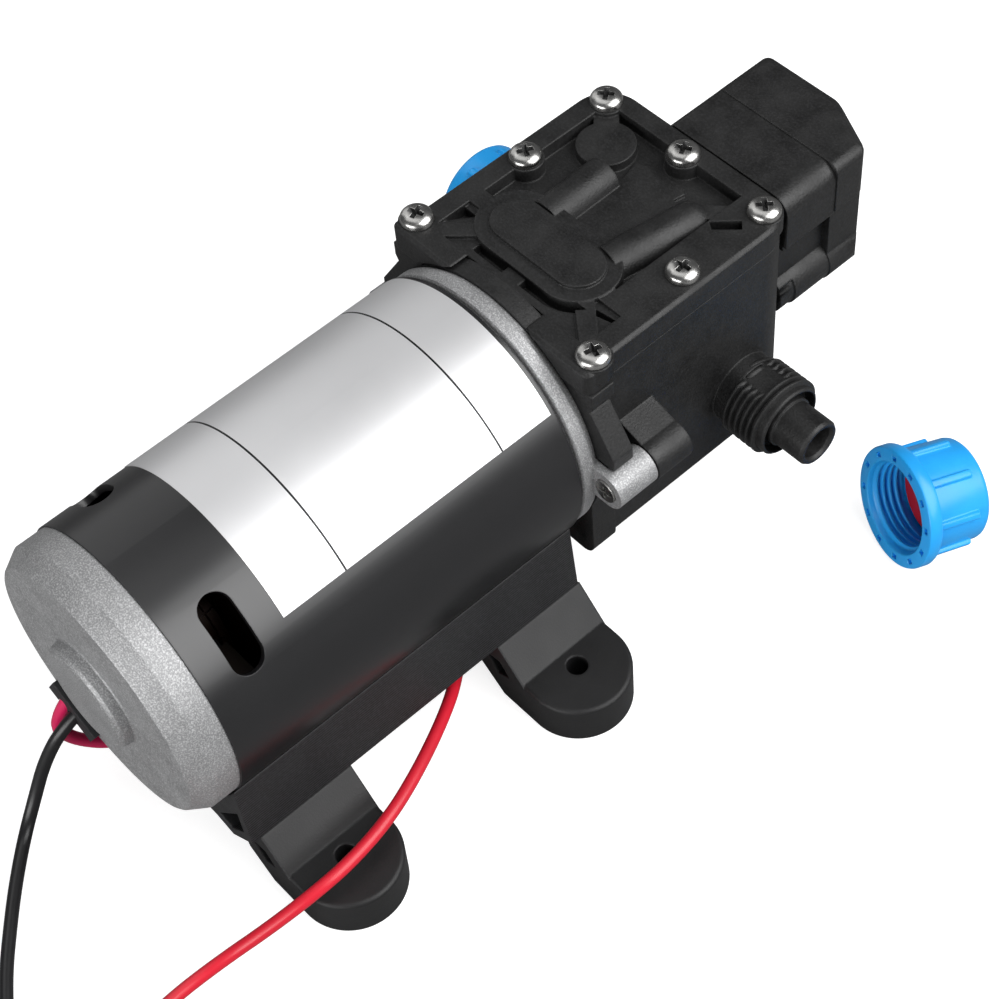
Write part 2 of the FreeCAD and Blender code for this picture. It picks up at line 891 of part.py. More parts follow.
def make_diaphragm():
    flat = recess_z
    up = recess_z + throw
    inner = rod_head_radius
    outer = diaphragm_clamp_radius
    hole = screw_radius + screw_gap
    thick = diaphragm_thickness
    profile = [
        (up, hole),
        (up, inner),
        (flat + throw * 0.5 + 0.5, (inner + outer) / 2),
        (flat, outer),
        (flat, diaphragm_radius),
        (flat + thick, diaphragm_radius),
        (flat + thick, outer),
        (flat + throw * 0.5 + thick + 0.3, (inner + outer) / 2),
        (up + thick, inner),
        (up + thick, hole),
    ]
    return turned_z(profile, 0.0, crank_y)


def make_diaphragm_clamp():
    z0 = rod_head_top + diaphragm_thickness
    z1 = z0 + clamp_disc_thickness
    hole = screw_radius + screw_gap
    profile = [
        (z0, hole),
        (z0, clamp_disc_radius),
        (z1 - 0.4, clamp_disc_radius),
        (z1, clamp_disc_radius - 0.6),
        (z1, screw_radius * 2),
        (z0 + 0.2, hole),
    ]
    return turned_z(profile, 0.0, crank_y)


def make_diaphragm_screw():
    z1 = rod_head_top + diaphragm_thickness + clamp_disc_thickness
    z0 = crank_z + crank_bearing_radius + 0.4
    profile = [
        (z0, 0),
        (z0, screw_radius),
        (z1 - clamp_disc_thickness + 0.2, screw_radius),
        (z1, screw_radius * 2 - 0.2),
        (z1, 0),
    ]
    return turned_z(profile, 0.0, crank_y).cut(cross_recess(z1 + 0.4, 0.0, crank_y))


# Pump body
def port_shape(side):
    """Port at the root of its thread, with its smooth nozzle, standing on the side wall."""
    profile = [(body_half_width - 2, 0), (body_half_width - 2, thread_root_radius)]
    profile.append((port_thread_end - 0.4, thread_root_radius))
    profile.append((port_thread_end, thread_root_radius - 0.4))
    profile.append((port_thread_end, port_recess_radius))
    profile.append((port_thread_end - port_recess_depth, port_recess_radius - 0.3))
    profile.append((port_thread_end - port_recess_depth, nozzle_radius + 0.5))
    profile.append((port_thread_end, nozzle_radius + 0.5))
    profile.append((port_thread_end, nozzle_radius))
    profile.append((nozzle_end - 0.8, nozzle_radius))
    profile.append((nozzle_end, nozzle_radius - 0.5))
    profile.append((nozzle_end, nozzle_bore_radius + 0.6))
    profile.append((nozzle_end - 0.8, nozzle_bore_radius))
    profile.append((nozzle_end - 0.8, 0))
    port = turned(profile, V(0, port_y, port_height), X_AXIS, Z_AXIS)
    flat_x = body_half_width + port_flat_start
    flat_z = port_height + port_flat_height
    port = port.cut(box(flat_x, flat_x + port_flat_length, port_y - 12, port_y + 12, flat_z, flat_z + 6))
    return port if side > 0 else mirrored_x(port)


def port_passage(side):
    """Bore of a port and the riser that joins it to the valve chamber."""
    riser_x = outlet_riser_x if side > 0 else -inlet_riser_x
    riser_y = outlet_riser_y if side > 0 else inlet_riser_y
    bore = cylinder_x(nozzle_bore_radius, riser_x - 2, nozzle_end + 1, port_y, port_height)
    riser = cylinder_z(riser_radius, port_height, body_top_z + 1, riser_x, riser_y)
    passage = bore.fuse(riser)
    return passage if side > 0 else mirrored_x(passage)


def cover_screw_places():
    near_y = body_y + near_screw_from_front
    far_y = body_far_y - far_screw_from_far
    side_y = body_far_y - side_screw_from_far
    places = []
    for side in (-1, 1):
        places.append((side * near_screw_x, near_y))
        places.append((side * far_screw_x, side_y))
        places.append((side * far_screw_x, far_y))
    places.append((0.0, far_y))
    return places


def head_outline(z0, z1):
    """Block of the pump head with its rounded upright corners."""
    block = box(-body_half_width, body_half_width, body_y, body_far_y, z0, z1)
    for side in (-1, 1):
        x = side * body_half_width
        block = block.makeFillet(body_far_corner, upright_edges(block, x, body_far_y))
    return block


def side_boss(side):
    """Boss behind an ear, with the web that ties it to the side wall."""
    y0 = ear_end_y + touch_gap
    y1 = y0 + side_boss_length
    radius = ear_radius + 0.3
    wall = body_half_width - 1
    round_part = cylinder_y(radius, y0, y1, ear_offset, axis_height)
    web = prism(
        [
            V(wall, y0, axis_height + radius + 2.9),
            V(ear_offset, y0, axis_height + radius - 0.2),
            V(ear_offset, y0, axis_height - radius + 0.2),
            V(wall, y0, axis_height - radius),
        ],
        V(0, y1 - y0, 0),
    )
    boss = round_part.fuse(web).removeSplitter()
    return boss if side > 0 else mirrored_x(boss)


def corner_post(side):
    """Block below a near cover screw and the leaning post that ties it to the boss of the ear."""
    y0 = body_y
    low = axis_height + ear_radius + 0.6
    wall = body_half_width
    block = prism(
        [
            V(wall - 4, y0, cover_z),
            V(wall + 2.1, y0, cover_z),
            V(wall + 2.1, y0, cover_z - 4.0),
            V(wall + 0.8, y0, cover_z - 6.4),
            V(wall - 4, y0, cover_z - 6.4),
        ],
        V(0, 6.6, 0),
    )
    post = prism(
        [
            V(wall - 4, y0, cover_z - 6.0),
            V(wall + 1.4, y0, cover_z - 6.0),
            V(ear_offset + 0.6, y0, low + 3.4),
            V(ear_offset + 0.6, y0, low),
            V(wall - 4, y0, low),
        ],
        V(0, 5.9, 0),
    )
    both = block.fuse(post).removeSplitter()
    return both if side > 0 else mirrored_x(both)


def lower_lug():
    """Front plate of the body below the motor flange, with square lower corners."""
    half = lug_half_width
    plate = box(-half, half, body_y, body_y + lug_thickness, lug_bottom_z, axis_height - 12)
    for side in (-1, 1):
        edges = []
        for edge in plate.Edges:
            ends = [vertex.Point for vertex in edge.Vertexes]
            if all(math.hypot(p.x - side * half, p.z - lug_bottom_z) < 0.01 for p in ends):
                edges.append(edge)
        plate = plate.makeFillet(lug_corner, edges)
    middle = box(-14, 14, body_y - 1, body_y + lug_thickness + 1, lug_bottom_z - 1, body_bottom_z)
    return plate.cut(middle)


def make_pump_body():
    block = head_outline(body_bottom_z, body_top_z)
    collar = cylinder_y(collar_radius, body_y, body_y + collar_length)
    parts = [block, collar, lower_lug()]
    for side in (-1, 1):
        parts += [port_shape(side), side_boss(side), corner_post(side)]
    body = fused(parts)
    chamber = cylinder_y(chamber_radius, body_y - 1, chamber_far_y)
    drop = cylinder_z(diaphragm_clamp_radius - 0.6, axis_height, recess_z + 1, 0.0, crank_y)
    recess = cylinder_z(recess_radius, recess_z, body_top_z + 1, 0.0, crank_y)
    body = body.cut(fused([chamber, drop, recess]))
    body = body.cut([port_passage(1), port_passage(-1)])
    holes = []
    for x, y in cover_screw_places():
        low = cover_top_z - screw_length - 1.5
        holes.append(cylinder_z(screw_radius + screw_gap, low, body_top_z + 1, x, y))
    for side in (-1, 1):
        holes.append(ear_boss(ear_radius + touch_gap, body_y - 1, ear_end_y + touch_gap, side))
        holes.append(ear_boss(screw_radius + screw_gap, ear_end_y, ear_end_y + ear_screw_reach + 1, side))
    switch_way_x = outlet_riser_x - riser_radius
    switch_way = cylinder_y(switch_port_radius, outlet_riser_y, body_far_y + 1, switch_way_x, switch_bore_z)
    holes.append(switch_way)
    holes += switch_screw_holes(screw_gap)
    return body.cut(holes)


# Valves
def valve_places():
    return dome_x - valve_spacing / 2, dome_x + valve_spacing / 2, dome_y + 1.5


def make_valve_plate():
    rim = diaphragm_clamp_radius
    solid = cylinder_z(diaphragm_radius, plate_z, body_top_z, 0.0, crank_y)
    dish = turned_z(
        [(plate_z - 1, 0), (plate_z - 1, rim), (plate_z, rim), (valve_roof_z, rim - 1.8), (valve_roof_z, 0)],
        0.0,
        crank_y,
    )
    plate = solid.cut(dish)
    inlet_x, outlet_x, valve_y = valve_places()
    holes = []
    for x in (inlet_x, outlet_x):
        holes.append(cylinder_z(valve_stem_radius + fit_gap, valve_roof_z - 1, body_top_z + 1, x, valve_y))
        for number in range(valve_hole_count):
            angle = 2 * math.pi * (number + 0.5) / valve_hole_count
            hole_x = x + valve_hole_circle * math.cos(angle)
            hole_y = valve_y + valve_hole_circle * math.sin(angle)
            holes.append(cylinder_z(valve_hole_radius, valve_roof_z - 1, body_top_z + 1, hole_x, hole_y))
    return plate.cut(holes)


def check_valve(x, y, seat_z, direction):
    """Umbrella valve: a disc on one side of its seat, a stem with a bulb on the other."""
    stem_end = -(valve_web + valve_lift + valve_bulb)
    profile = [
        (0.05, 0),
        (0.05, valve_radius),
        (valve_thickness * 0.5, valve_radius),
        (valve_thickness + 0.05, valve_radius * 0.45),
        (valve_thickness + 0.05, 0),
    ]
    disc = turned(profile, V(x, y, seat_z), Z_AXIS * direction, X_AXIS)
    stem_profile = [
        (0.2, 0),
        (0.2, valve_stem_radius),
        (stem_end + valve_bulb - 0.1, valve_stem_radius),
        (stem_end + valve_bulb - 0.3, valve_stem_radius + 0.5),
        (stem_end, valve_stem_radius),
        (stem_end, 0),
    ]
    stem = turned(stem_profile, V(x, y, seat_z), Z_AXIS * direction, X_AXIS)
    return disc.fuse(stem).removeSplitter()


def make_inlet_valve():
    inlet_x, outlet_x, y = valve_places()
    return check_valve(inlet_x, y, valve_roof_z, -1)


def make_outlet_valve():
    inlet_x, outlet_x, y = valve_places()
    return check_valve(outlet_x, y, body_top_z, 1)


def gasket_ring(z0, z1, extra):
    cavity = dome_band_radius - dome_wall
    inner = cavity + 0.4 - extra
    outer = cavity + 0.4 + gasket_width + extra
    ring = obround(dome_x, dome_y, dome_half_spacing, outer, z0, z1)
    return ring.cut(obround(dome_x, dome_y, dome_half_spacing, inner, z0, z1))


def make_cover_gasket():
    return gasket_ring(cover_z, cover_z + gasket_thickness, 0.0)


# Top cover
def channel_path(side):
    """Start and end of a half-round channel on the cover, in plan."""
    if side > 0:
        return V(10.0, dome_y + 7.0, field_z), V(outlet_riser_x, outlet_riser_y, field_z)
    return V(-10.4, dome_y + 7.0, field_z), V(-10.8, inlet_riser_y - 6.2, field_z)


def channel_ridge(side, radius, z_low, pull=0.0):
    """Round ridge kept above one level; the outlet ridge ends round, the inlet ridge flat."""
    start, end = channel_path(side)
    direction = end - start
    ridge = Part.makeCylinder(radius, direction.Length - pull, start, direction)
    if side > 0:
        ridge = ridge.fuse(Part.makeSphere(radius, end))
    keep = box(-60, 60, body_y, body_far_y, z_low, cover_top_z + 20)
    return ridge.common(keep)


def rib(x0, y0, x1, y1, width, z0, z1):
    """Straight upright rib between two points in plan."""
    direction = V(x1 - x0, y1 - y0, 0)
    side = direction.cross(Z_AXIS).normalize() * (width / 2)
    points = [V(x0, y0, z0) + side, V(x1, y1, z0) + side, V(x1, y1, z0) - side, V(x0, y0, z0) - side]
    return prism(points, V(0, 0, z1 - z0))


def plan_prism(corners, z0, z1):
    return prism([V(x, y, z0) for x, y in corners], V(0, 0, z1 - z0))


def cover_block():
    """Plain block of the cover with a bevel round its top edge."""
    y0 = body_y - cover_near_overhang
    reach = body_half_width + 1.6
    front = box(-reach, reach, y0, body_y + 6.5, cover_z, cover_top_z)
    for side in (-1, 1):
        front = front.makeFillet(body_near_corner, upright_edges(front, side * reach, y0))
    block = head_outline(cover_z, cover_top_z).fuse(front).removeSplitter()
    top = [e for e in block.Edges if all(abs(v.Z - cover_top_z) < 0.01 for v in e.Vertexes)]
    return block.makeChamfer(cover_edge_bevel, top)


def cover_recesses():
    """Cutters that leave the rim, the right-hand plateau and the ribs of the cover standing."""
    left = -body_half_width + cover_rim_width
    far = body_far_y - cover_far_rim_width
    top = cover_top_z + 1
    middle = dome_y + 1.7
    field = box(left, cover_plateau_x, middle, far, field_z, top)
    near_z = cover_top_z - cover_near_drop
    near = box(left, cover_plateau_x + 6.4, body_y + 5.4, dome_y - 3.0, near_z, top)
    outer = obround(dome_x, dome_y, dome_half_spacing, dome_band_radius + pocket_width, field_z, top)
    left_part = box(dome_x - 12.0, dome_x - 2.2, body_y, dome_y - 8.0, field_z, top)
    right_part = box(dome_x + 3.3, dome_x + 21.0, body_y, dome_y - 7.0, field_z, top)
    pockets = [outer.common(left_part), outer.common(right_part)]
    corner = plan_prism([(left, dome_y - 10.5), (left, dome_y - 4.5), (-20.6, dome_y - 4.5)], field_z, top)
    slots = [
        plan_prism([(19.0, 70.5), (24.7, 71.4), (25.2, 70.4), (20.4, 69.2)], field_z, top),
        plan_prism([(18.9, 106.0), (24.0, 111.4), (25.9, 109.4), (21.0, 104.6)], field_z, top),
    ]
    return fused([field, near]), pockets + [corner] + slots


def cover_web():
    """Low web between the two channels, with a wavy far edge."""
    corners = [
        (-9.0, dome_y),
        (-6.8, dome_y + 28.0),
        (-8.4, dome_y + 34.0),
        (-5.6, dome_y + 35.2),
        (-1.4, dome_y + 34.0),
        (2.0, dome_y + 34.4),
        (5.0, dome_y + 35.6),
        (7.0, dome_y + 34.6),
        (6.4, dome_y + 31.6),
        (12.0, dome_y + 31.0),
        (10.0, dome_y),
    ]
    return plan_prism(corners, field_z - 1, field_z + cover_web_height)


def make_top_cover():
    recess, deep = cover_recesses()
    cover = cover_block().cut(recess)
    band = obround(dome_x, dome_y, dome_half_spacing, dome_band_radius, field_z - 1, band_z)
    top = obround(dome_x, dome_y, dome_half_spacing, dome_top_radius, band_z - 1, dome_top_z)
    boss_z = field_z + riser_boss_height
    boss = cylinder_z(riser_boss_radius, field_z - 1, boss_z, inlet_riser_x, inlet_riser_y)
    pads = []
    for x, y in cover_screw_places():
        pads.append(cylinder_z(screw_head_radius + 0.4, field_z - 1, cover_top_z, x, y))
    far_y = body_far_y - far_screw_from_far
    low = field_z - 1
    ribs = [
        rib(-26.0, dome_y - 16.6, -15.0, dome_y - 5.7, 4.2, low, cover_top_z),
        rib(26.5, dome_y - 14.0, 14.0, dome_y - 4.1, 4.4, low, cover_top_z),
        rib(inlet_riser_x, inlet_riser_y, -far_screw_x, far_y, 6.0, low, boss_z),
        rib(outlet_riser_x + 1.5, outlet_riser_y + 2.2, far_screw_x, far_y, 4.2, low, cover_top_z - 0.4),
    ]
    cover = fused([cover] + pads + ribs).cut(deep)
    ridges = [channel_ridge(side, channel_radius, low) for side in (-1, 1)]
    cover = fused([cover, band, top, boss, cover_web()] + ridges)
    cavity = []
    chamber_z = band_z - dome_wall
    half = dome_half_spacing
    room = obround(dome_x, dome_y, half, dome_band_radius - dome_wall, cover_z - 1, chamber_z)
    wall = box(dome_x - 1, dome_x + 1, dome_y - 12, dome_y + 12, cover_z - 1, chamber_z)
    cavity.append(room.cut(wall))
    inner = channel_radius - channel_wall
    cavity.append(channel_ridge(-1, inner, cover_z - 1, channel_wall))
    cavity.append(channel_ridge(1, inner, cover_z - 1))
    x, y = inlet_riser_x, inlet_riser_y
    cavity.append(cylinder_z(riser_radius, cover_z - 1, boss_z - channel_wall, x, y))
    end = channel_path(-1)[1]
    way_z = field_z - 1.0
    cavity.append(rib(end.x, end.y - 3.0, x, y, 2 * riser_radius - 1, cover_z - 1, way_z))
    cavity.append(cylinder_z(riser_radius, cover_z - 1, way_z, outlet_riser_x, outlet_riser_y))
    for x, y in cover_screw_places():
        cavity.append(cylinder_z(screw_radius + screw_gap, cover_z - 1, cover_top_z + 1, x, y))
    cavity.append(gasket_ring(cover_z - 1, cover_z + gasket_thickness, fit_gap))
    collar_end = body_y + collar_length + touch_gap
    cavity.append(cylinder_y(flange_radius + touch_gap, body_y - 5, collar_end))
    return cover.cut(cavity)


def make_cover_screws():
    return Part.makeCompound([pan_screw(x, y, cover_top_z, screw_length) for x, y in cover_screw_places()])


# Pressure switch
def switch_screw_places():
    left = switch_left + switch_screw_inset
    top = body_top_z - switch_screw_inset
    return [(left, top), (left, switch_bottom_z + switch_screw_inset), (switch_screw_right_x, top)]


def switch_screw_holes(extra):
    holes = []
    for x, z in switch_screw_places():
        holes.append(cylinder_y(switch_screw_radius + extra, switch_y - 6.5, switch_seam_y + 1, x, z))
    return holes


def switch_section(y0, y1, grow):
    """Body of the pressure switch: a wide upper box over a narrower lower one."""
    upper = box(switch_left - grow, switch_right + grow, y0, y1, switch_skirt_z, switch_top_z + grow)
    lower = box(switch_left - grow, switch_lower_right, y0, y1, switch_bottom_z - grow, switch_skirt_z)
    return upper, lower


def rounded_along_y(shape, radius, x, z):
    edges = []
    for edge in shape.Edges:
        ends = [vertex.Point for vertex in edge.Vertexes]
        if all(abs(p.x - x) < 0.01 and abs(p.z - z) < 0.01 for p in ends):
            edges.append(edge)
    return shape.makeFillet(radius, edges)


def switch_solid(y0, y1, grow):
    upper, lower = switch_section(y0, y1, grow)
    upper = rounded_along_y(upper, switch_base_corner, switch_right + grow, switch_top_z + grow)
    upper = rounded_along_y(upper, 1.5, switch_left - grow, switch_top_z + grow)
    tube = cylinder_y(switch_tube_radius + grow, y0, y1, switch_tube_x, switch_tube_z)
    brace = box(switch_lower_right - 2, switch_right + grow, y0, y1, switch_tube_z, switch_skirt_z + 1)
    return fused([upper, lower, tube, brace.common(box(0, switch_right - 1.2, y0, y1, 0, 100))])


def make_switch_housing():
    solid = switch_solid(switch_y, switch_seam_y, 0.0)
    x = switch_bore_x
    z = switch_bore_z
    step_y = switch_y + switch_tube_step
    radius = switch_tube_radius
    step = ring_y(radius + 2, radius - 0.5, switch_y, step_y, switch_tube_x, switch_tube_z)
    low = switch_bottom_z
    lower_right = box(switch_tube_x, switch_right + 4, switch_y - 1, step_y, low, switch_tube_z + 4)
    solid = solid.cut(step.common(lower_right))
    seat_end = seal_y + switch_plunger_head + switch_travel + touch_gap
    seat = cylinder_y(switch_bore_radius, switch_y - 1, seat_end, x, z)
    spring_room = cylinder_y(switch_spring_radius + 1.0, switch_y, switch_seam_y - 3.0, x, z)
    guide = cylinder_y(switch_plunger_radius + fit_gap, switch_y, switch_seam_y + 1, x, z)
    solid = solid.cut([seat, spring_room, guide])
    return solid.cut(switch_screw_holes(screw_gap))


def make_switch_cap():
    grow = 0.3
    solid = switch_solid(switch_seam_y, switch_end_y, grow)
    x1 = switch_right + grow
    corner = prism(
        [
            V(x1 - switch_chamfer_x, switch_end_y, 0),
            V(x1 + 1, switch_end_y + 1, 0),
            V(x1, switch_end_y - switch_chamfer_y, 0),
        ],
        V(0, 0, 100),
    )
    solid = solid.cut(corner)
    notch = box(x1 - 1.4, x1 + 1, switch_seam_y - 1, switch_end_y, switch_skirt_z - 1.2, switch_skirt_z + 0.6)
    solid = solid.cut(notch)
    wall = switch_cap_wall
    room = box(
        switch_left + wall,
        switch_chamfer_x - 1,
        switch_seam_y - 1,
        switch_end_y - wall,
        switch_bottom_z + wall + switch_gland_height,
        switch_top_z - wall,
    )
    head_rooms = []
    for x, z in switch_screw_places():
        radius = switch_screw_head_radius + touch_gap
        depth = switch_screw_head_height + touch_gap
        head_rooms.append(cylinder_y(radius, switch_seam_y - 1, switch_seam_y + depth, x, z))
    return solid.cut([room, switch_gland_cutter(fit_gap)] + head_rooms)


def switch_gland_cutter(extra):
    top = switch_bottom_z + switch_cap_wall + switch_gland_height
    return cylinder_z(switch_gland_radius - 1.4 + extra, switch_bottom_z - 2, top + 1, switch_gland_x, gland_y)


def make_switch_gland():
    """Rubber gland under the switch where both leads leave it."""
    top = switch_bottom_z + switch_cap_wall + switch_gland_height
    low = switch_bottom_z - 0.3 - switch_gland_height
    profile = [
        (low, 0),
        (low, switch_gland_radius - 0.6),
        (switch_bottom_z - 0.3, switch_gland_radius),
        (switch_bottom_z - 0.3, switch_gland_radius - 1.4),
        (top, switch_gland_radius - 1.4),
        (top, 0),
    ]
    return turned_z(profile, switch_gland_x, gland_y)


def make_switch_seal():
    """Small diaphragm that the water pressure pushes on."""
    return cylinder_y(switch_bore_radius - fit_gap, switch_y, seal_y, switch_bore_x, switch_bore_z)


def make_switch_plunger():
    y0 = seal_y + 0.05
    head = cylinder_y(switch_plunger_head_radius, y0, y0 + switch_plunger_head, switch_bore_x, switch_bore_z)
    stem = cylinder_y(switch_plunger_radius, y0, y0 + switch_plunger_length, switch_bore_x, switch_bore_z)
    return head.fuse(stem).removeSplitter()


def make_switch_spring():
    """Spring of the switch at its shortest, so that the plunger can travel."""
    y0 = seal_y + 0.05 + switch_plunger_head + switch_travel + 0.05
    y1 = switch_seam_y - 3.0
    return ribbed_sleeve(
        switch_spring_radius,
        switch_spring_wire,
        y1 - y0,
        switch_spring_turns,
        V(switch_bore_x, y0, switch_bore_z),
        Y_AXIS,
        Z_AXIS,
    )


def make_micro_switch():
    tip_y = seal_y + 0.05 + switch_plunger_length
    y0 = tip_y + switch_travel + touch_gap
    x0 = switch_bore_x - micro_switch_width / 2 - 4
    z0 = switch_bore_z - micro_switch_height / 2
    case = box(x0, x0 + micro_switch_width, y0, switch_end_y - switch_cap_wall, z0, z0 + micro_switch_height)
    tab_y = switch_end_y - switch_cap_wall - 2.5
    tabs = [box(x0 + 3 + 6 * n, x0 + 3.8 + 6 * n, tab_y - 2, tab_y, z0 - 6, z0) for n in range(3)]
    return fused([case] + tabs)


def make_switch_screws():
    screws = []
    for x, z in switch_screw_places():
        head_end = switch_seam_y + switch_screw_head_height
        head = cylinder_y(switch_screw_head_radius, switch_seam_y, head_end, x, z)
        shank = cylinder_y(switch_screw_radius, switch_y - 6.0, switch_seam_y, x, z)
        screws.append(head.fuse(shank).removeSplitter())
    return Part.makeCompound(screws)


# Screw caps of the ports
def cap_shape():
    """Ribbed screw cap, open end at the origin, closed end along +X."""
    length = port_cap_length
    depth = length - port_cap_end
    lead_in = 1.2
    shoulder = washer_from_mouth + washer_thickness
    profile = [
        (0, port_cap_root_radius),
        (0, port_cap_flange_radius - 0.5),
        (0.5, port_cap_flange_radius),
        (port_cap_flange_length - 0.6, port_cap_flange_radius),
        (port_cap_flange_length, port_cap_radius + 0.3),
        (length - 1.2, port_cap_radius - 0.3),
        (length - 0.3, port_cap_radius - 0.7),
        (length, port_cap_radius - 1.5),
        (length, 0),
        (depth, 0),
        (depth, port_cap_bore_radius),
        (shoulder, port_cap_bore_radius),
        (shoulder, port_cap_root_radius - 0.8),
        (washer_from_mouth - 1.0, port_cap_root_radius - 0.8),
        (washer_from_mouth - 1.6, port_cap_crest_radius),
        (lead_in, port_cap_crest_radius),
    ]
    cap = turned(profile, V(0, 0, 0), X_AXIS, Z_AXIS)
    ribs = []
    for number in range(port_cap_rib_count):
        top = port_cap_radius + port_cap_rib_height
        x1 = length - port_cap_rib_end_gap
        half = port_cap_rib_width / 2
        bar = box(port_cap_flange_length - 1, x1, -half, half, port_cap_radius - 1.2, top)
        bar.rotate(V(0, 0, 0), X_AXIS, (number + 0.5) * 360 / port_cap_rib_count)
        ribs.append(bar)
    return fused([cap] + ribs)


def washer_shape():
    """Ring that seals round the smooth nozzle inside a cap."""
    x0 = washer_from_mouth
    x1 = x0 + washer_thickness
    return cylinder_x(washer_radius, x0, x1, 0, 0).cut(cylinder_x(washer_hole_radius, x0, x1, 0, 0))


def on_inlet(shape):
    """Place a cap piece on the inlet port, screwed on as far as the photograph shows."""
    copy = shape.copy()
    copy.rotate(V(0, 0, 0), Z_AXIS, 180)
    copy.translate(V(port_cap_length - inlet_cap_end, port_y, port_height))
    return copy


def on_floor(shape):
    """Lay a cap piece on the floor, tipped so that its flange and the ends of its ribs both touch."""
    copy = shape.copy()
    pivot = port_cap_flange_length - 0.6
    touch = port_cap_length - port_cap_rib_end_gap
    half_step = math.radians(180 / port_cap_rib_count)
    crest = port_cap_radius + port_cap_rib_height
    rest = crest * math.cos(half_step) + port_cap_rib_width / 2 * math.sin(half_step)
    tilt = math.atan((port_cap_flange_radius - rest) / (touch - pivot))
    copy.rotate(V(0, 0, 0), Y_AXIS, math.degrees(tilt))
    height = port_cap_flange_radius * math.cos(tilt) + pivot * math.sin(tilt)
    copy.translate(V(0, 0, height))
    copy.rotate(V(0, 0, 0), Z_AXIS, loose_cap_azimuth_deg)
    copy.translate(V(loose_cap_x, loose_cap_y, 0))
    return copy


# Base saddle and feet
def saddle_outline():
    """Right-hand half of the saddle's section, from the seat outwards and down."""
    seat = shell_radius + saddle_seat_gap
    top_z = axis_height - math.sqrt(seat ** 2 - saddle_top_x ** 2)
    return [
        V(0, 0, axis_height),
        V(saddle_top_x, 0, top_z),
        V(saddle_skirt_x, 0, saddle_skirt_z),
        V(saddle_lip_x, 0, saddle_lip_z),
        V(saddle_lip_x - 6, 0, saddle_bottom_z),
        V(0, 0, saddle_bottom_z),
    ]


def saddle_hollow():
    """Long hollow between the seat and the lower lip of the saddle."""
    wall = saddle_wall
    return [
        V(saddle_skirt_x - wall - 0.6, 0, saddle_skirt_z + 9.5),
        V(saddle_skirt_x - wall, 0, saddle_skirt_z + 1.8),
        V(saddle_lip_x + 0.4, 0, saddle_lip_z + wall + 0.8),
        V(saddle_lip_x - 4.0, 0, saddle_lip_z + wall + 2.2),
    ]


def make_base_saddle():
    length = saddle_front_y - saddle_rear_y
    half = prism(saddle_outline(), V(0, length, 0))
    hollow = prism(saddle_hollow(), V(0, length + 2, 0))
    hollow.translate(V(0, -1, 0))
    half = half.cut(hollow)
    saddle = half.fuse(mirrored_x(half)).removeSplitter()
    saddle.translate(V(0, saddle_rear_y, 0))
    seat = shell_radius + saddle_seat_gap
    saddle = saddle.cut(cylinder_y(seat, saddle_rear_y - 1, saddle_front_y + 1))
    cutters = []
    for y in (-base_screw_y, base_screw_y):
        cutters.append(cylinder_z(base_screw_radius + screw_gap, saddle_bottom_z - 1, axis_height, 0.0, y))
        head_z = saddle_bottom_z + base_screw_head_height + touch_gap
        head_room = cylinder_z(base_screw_head_radius + 0.4, saddle_bottom_z - 1, head_z, 0.0, y)
        cutters.append(head_room)
    for side_x in (-1, 1):
        for side_y in (-1, 1):
            cutters.append(foot_tongue(side_x, side_y, fit_gap))
    return saddle.cut(cutters)


def foot_tongue(side_x, side_y, extra):
    """Tongue of a foot that stands up through the lip of the saddle."""
    middle_x = (saddle_skirt_x + saddle_lip_x) / 2
    middle_z = (saddle_skirt_z + saddle_lip_z) / 2
    along = V(saddle_skirt_x - saddle_lip_x, 0, saddle_skirt_z - saddle_lip_z).normalize()
    normal = V(-along.z, 0, along.x)
    half = foot_tongue_thickness / 2 + extra
    start = V(middle_x, 0, middle_z) - normal * 2.0
    points = [start - along * half, start + along * half]
    reach = normal * (foot_tongue_height + 2.0 + extra)
    points += [points[1] + reach, points[0] + reach]
    width = foot_tongue_width + 2 * extra
    tongue = prism(points, V(0, width, 0))
    tongue.translate(V(0, side_y * foot_hole_spacing_y / 2 - width / 2, 0))
    return tongue if side_x > 0 else mirrored_x(tongue)


def make_foot(side_x, side_y):
    y = side_y * foot_hole_spacing_y / 2
    half = foot_width / 2
    hole_x = foot_hole_x
    end_x = hole_x + half
    side = [
        V(foot_heel_inner_x, y - half, foot_heel_rise),
        V(foot_heel_x, y - half, 0),
        V(end_x + 1, y - half, 0),
        V(end_x + 1, y - half, foot_thickness),
        V(foot_pad_inner_x, y - half, foot_thickness),
        V(saddle_skirt_x, y - half, saddle_skirt_z),
        V(saddle_lip_x, y - half, saddle_lip_z),
    ]
    blank = prism(side, V(0, foot_width, 0))
    plan = fused([box(0, hole_x, y - half, y + half, -1, 40), cylinder_z(half, -1, 40, hole_x, y)])
    foot = blank.common(plan)
    foot = foot.makeFillet(foot_edge_round, circles_at(foot, Z_AXIS, foot_thickness, half))
    for start in (y - half - 1, y + half - foot_pocket_depth):
        pocket = prism(
            [V(28.5, start, 12.8), V(33.2, start, 13.6), V(36.2, start, 9.6), V(32.0, start, 7.6)],
            V(0, foot_pocket_depth + 1, 0),
        )
        foot = foot.cut(pocket)
    foot = foot.fuse(foot_tongue(1, side_y, 0.0)).removeSplitter()
    foot = foot.cut(cylinder_z(foot_hole_radius, -1, foot_thickness + 1, hole_x, y))
    return foot if side_x > 0 else mirrored_x(foot)


def make_base_screws():
    """Two screws up through the saddle into the motor shell."""
    screws = []
    for y in (-base_screw_y, base_screw_y):
        z0 = saddle_bottom_z + touch_gap
        head = cylinder_z(base_screw_head_radius, z0, z0 + base_screw_head_height, 0.0, y)
        shank = cylinder_z(base_screw_radius, z0, shell_bottom_z - 0.1, 0.0, y)
        screws.append(head.fuse(shank).removeSplitter())
    return Part.makeCompound(screws)


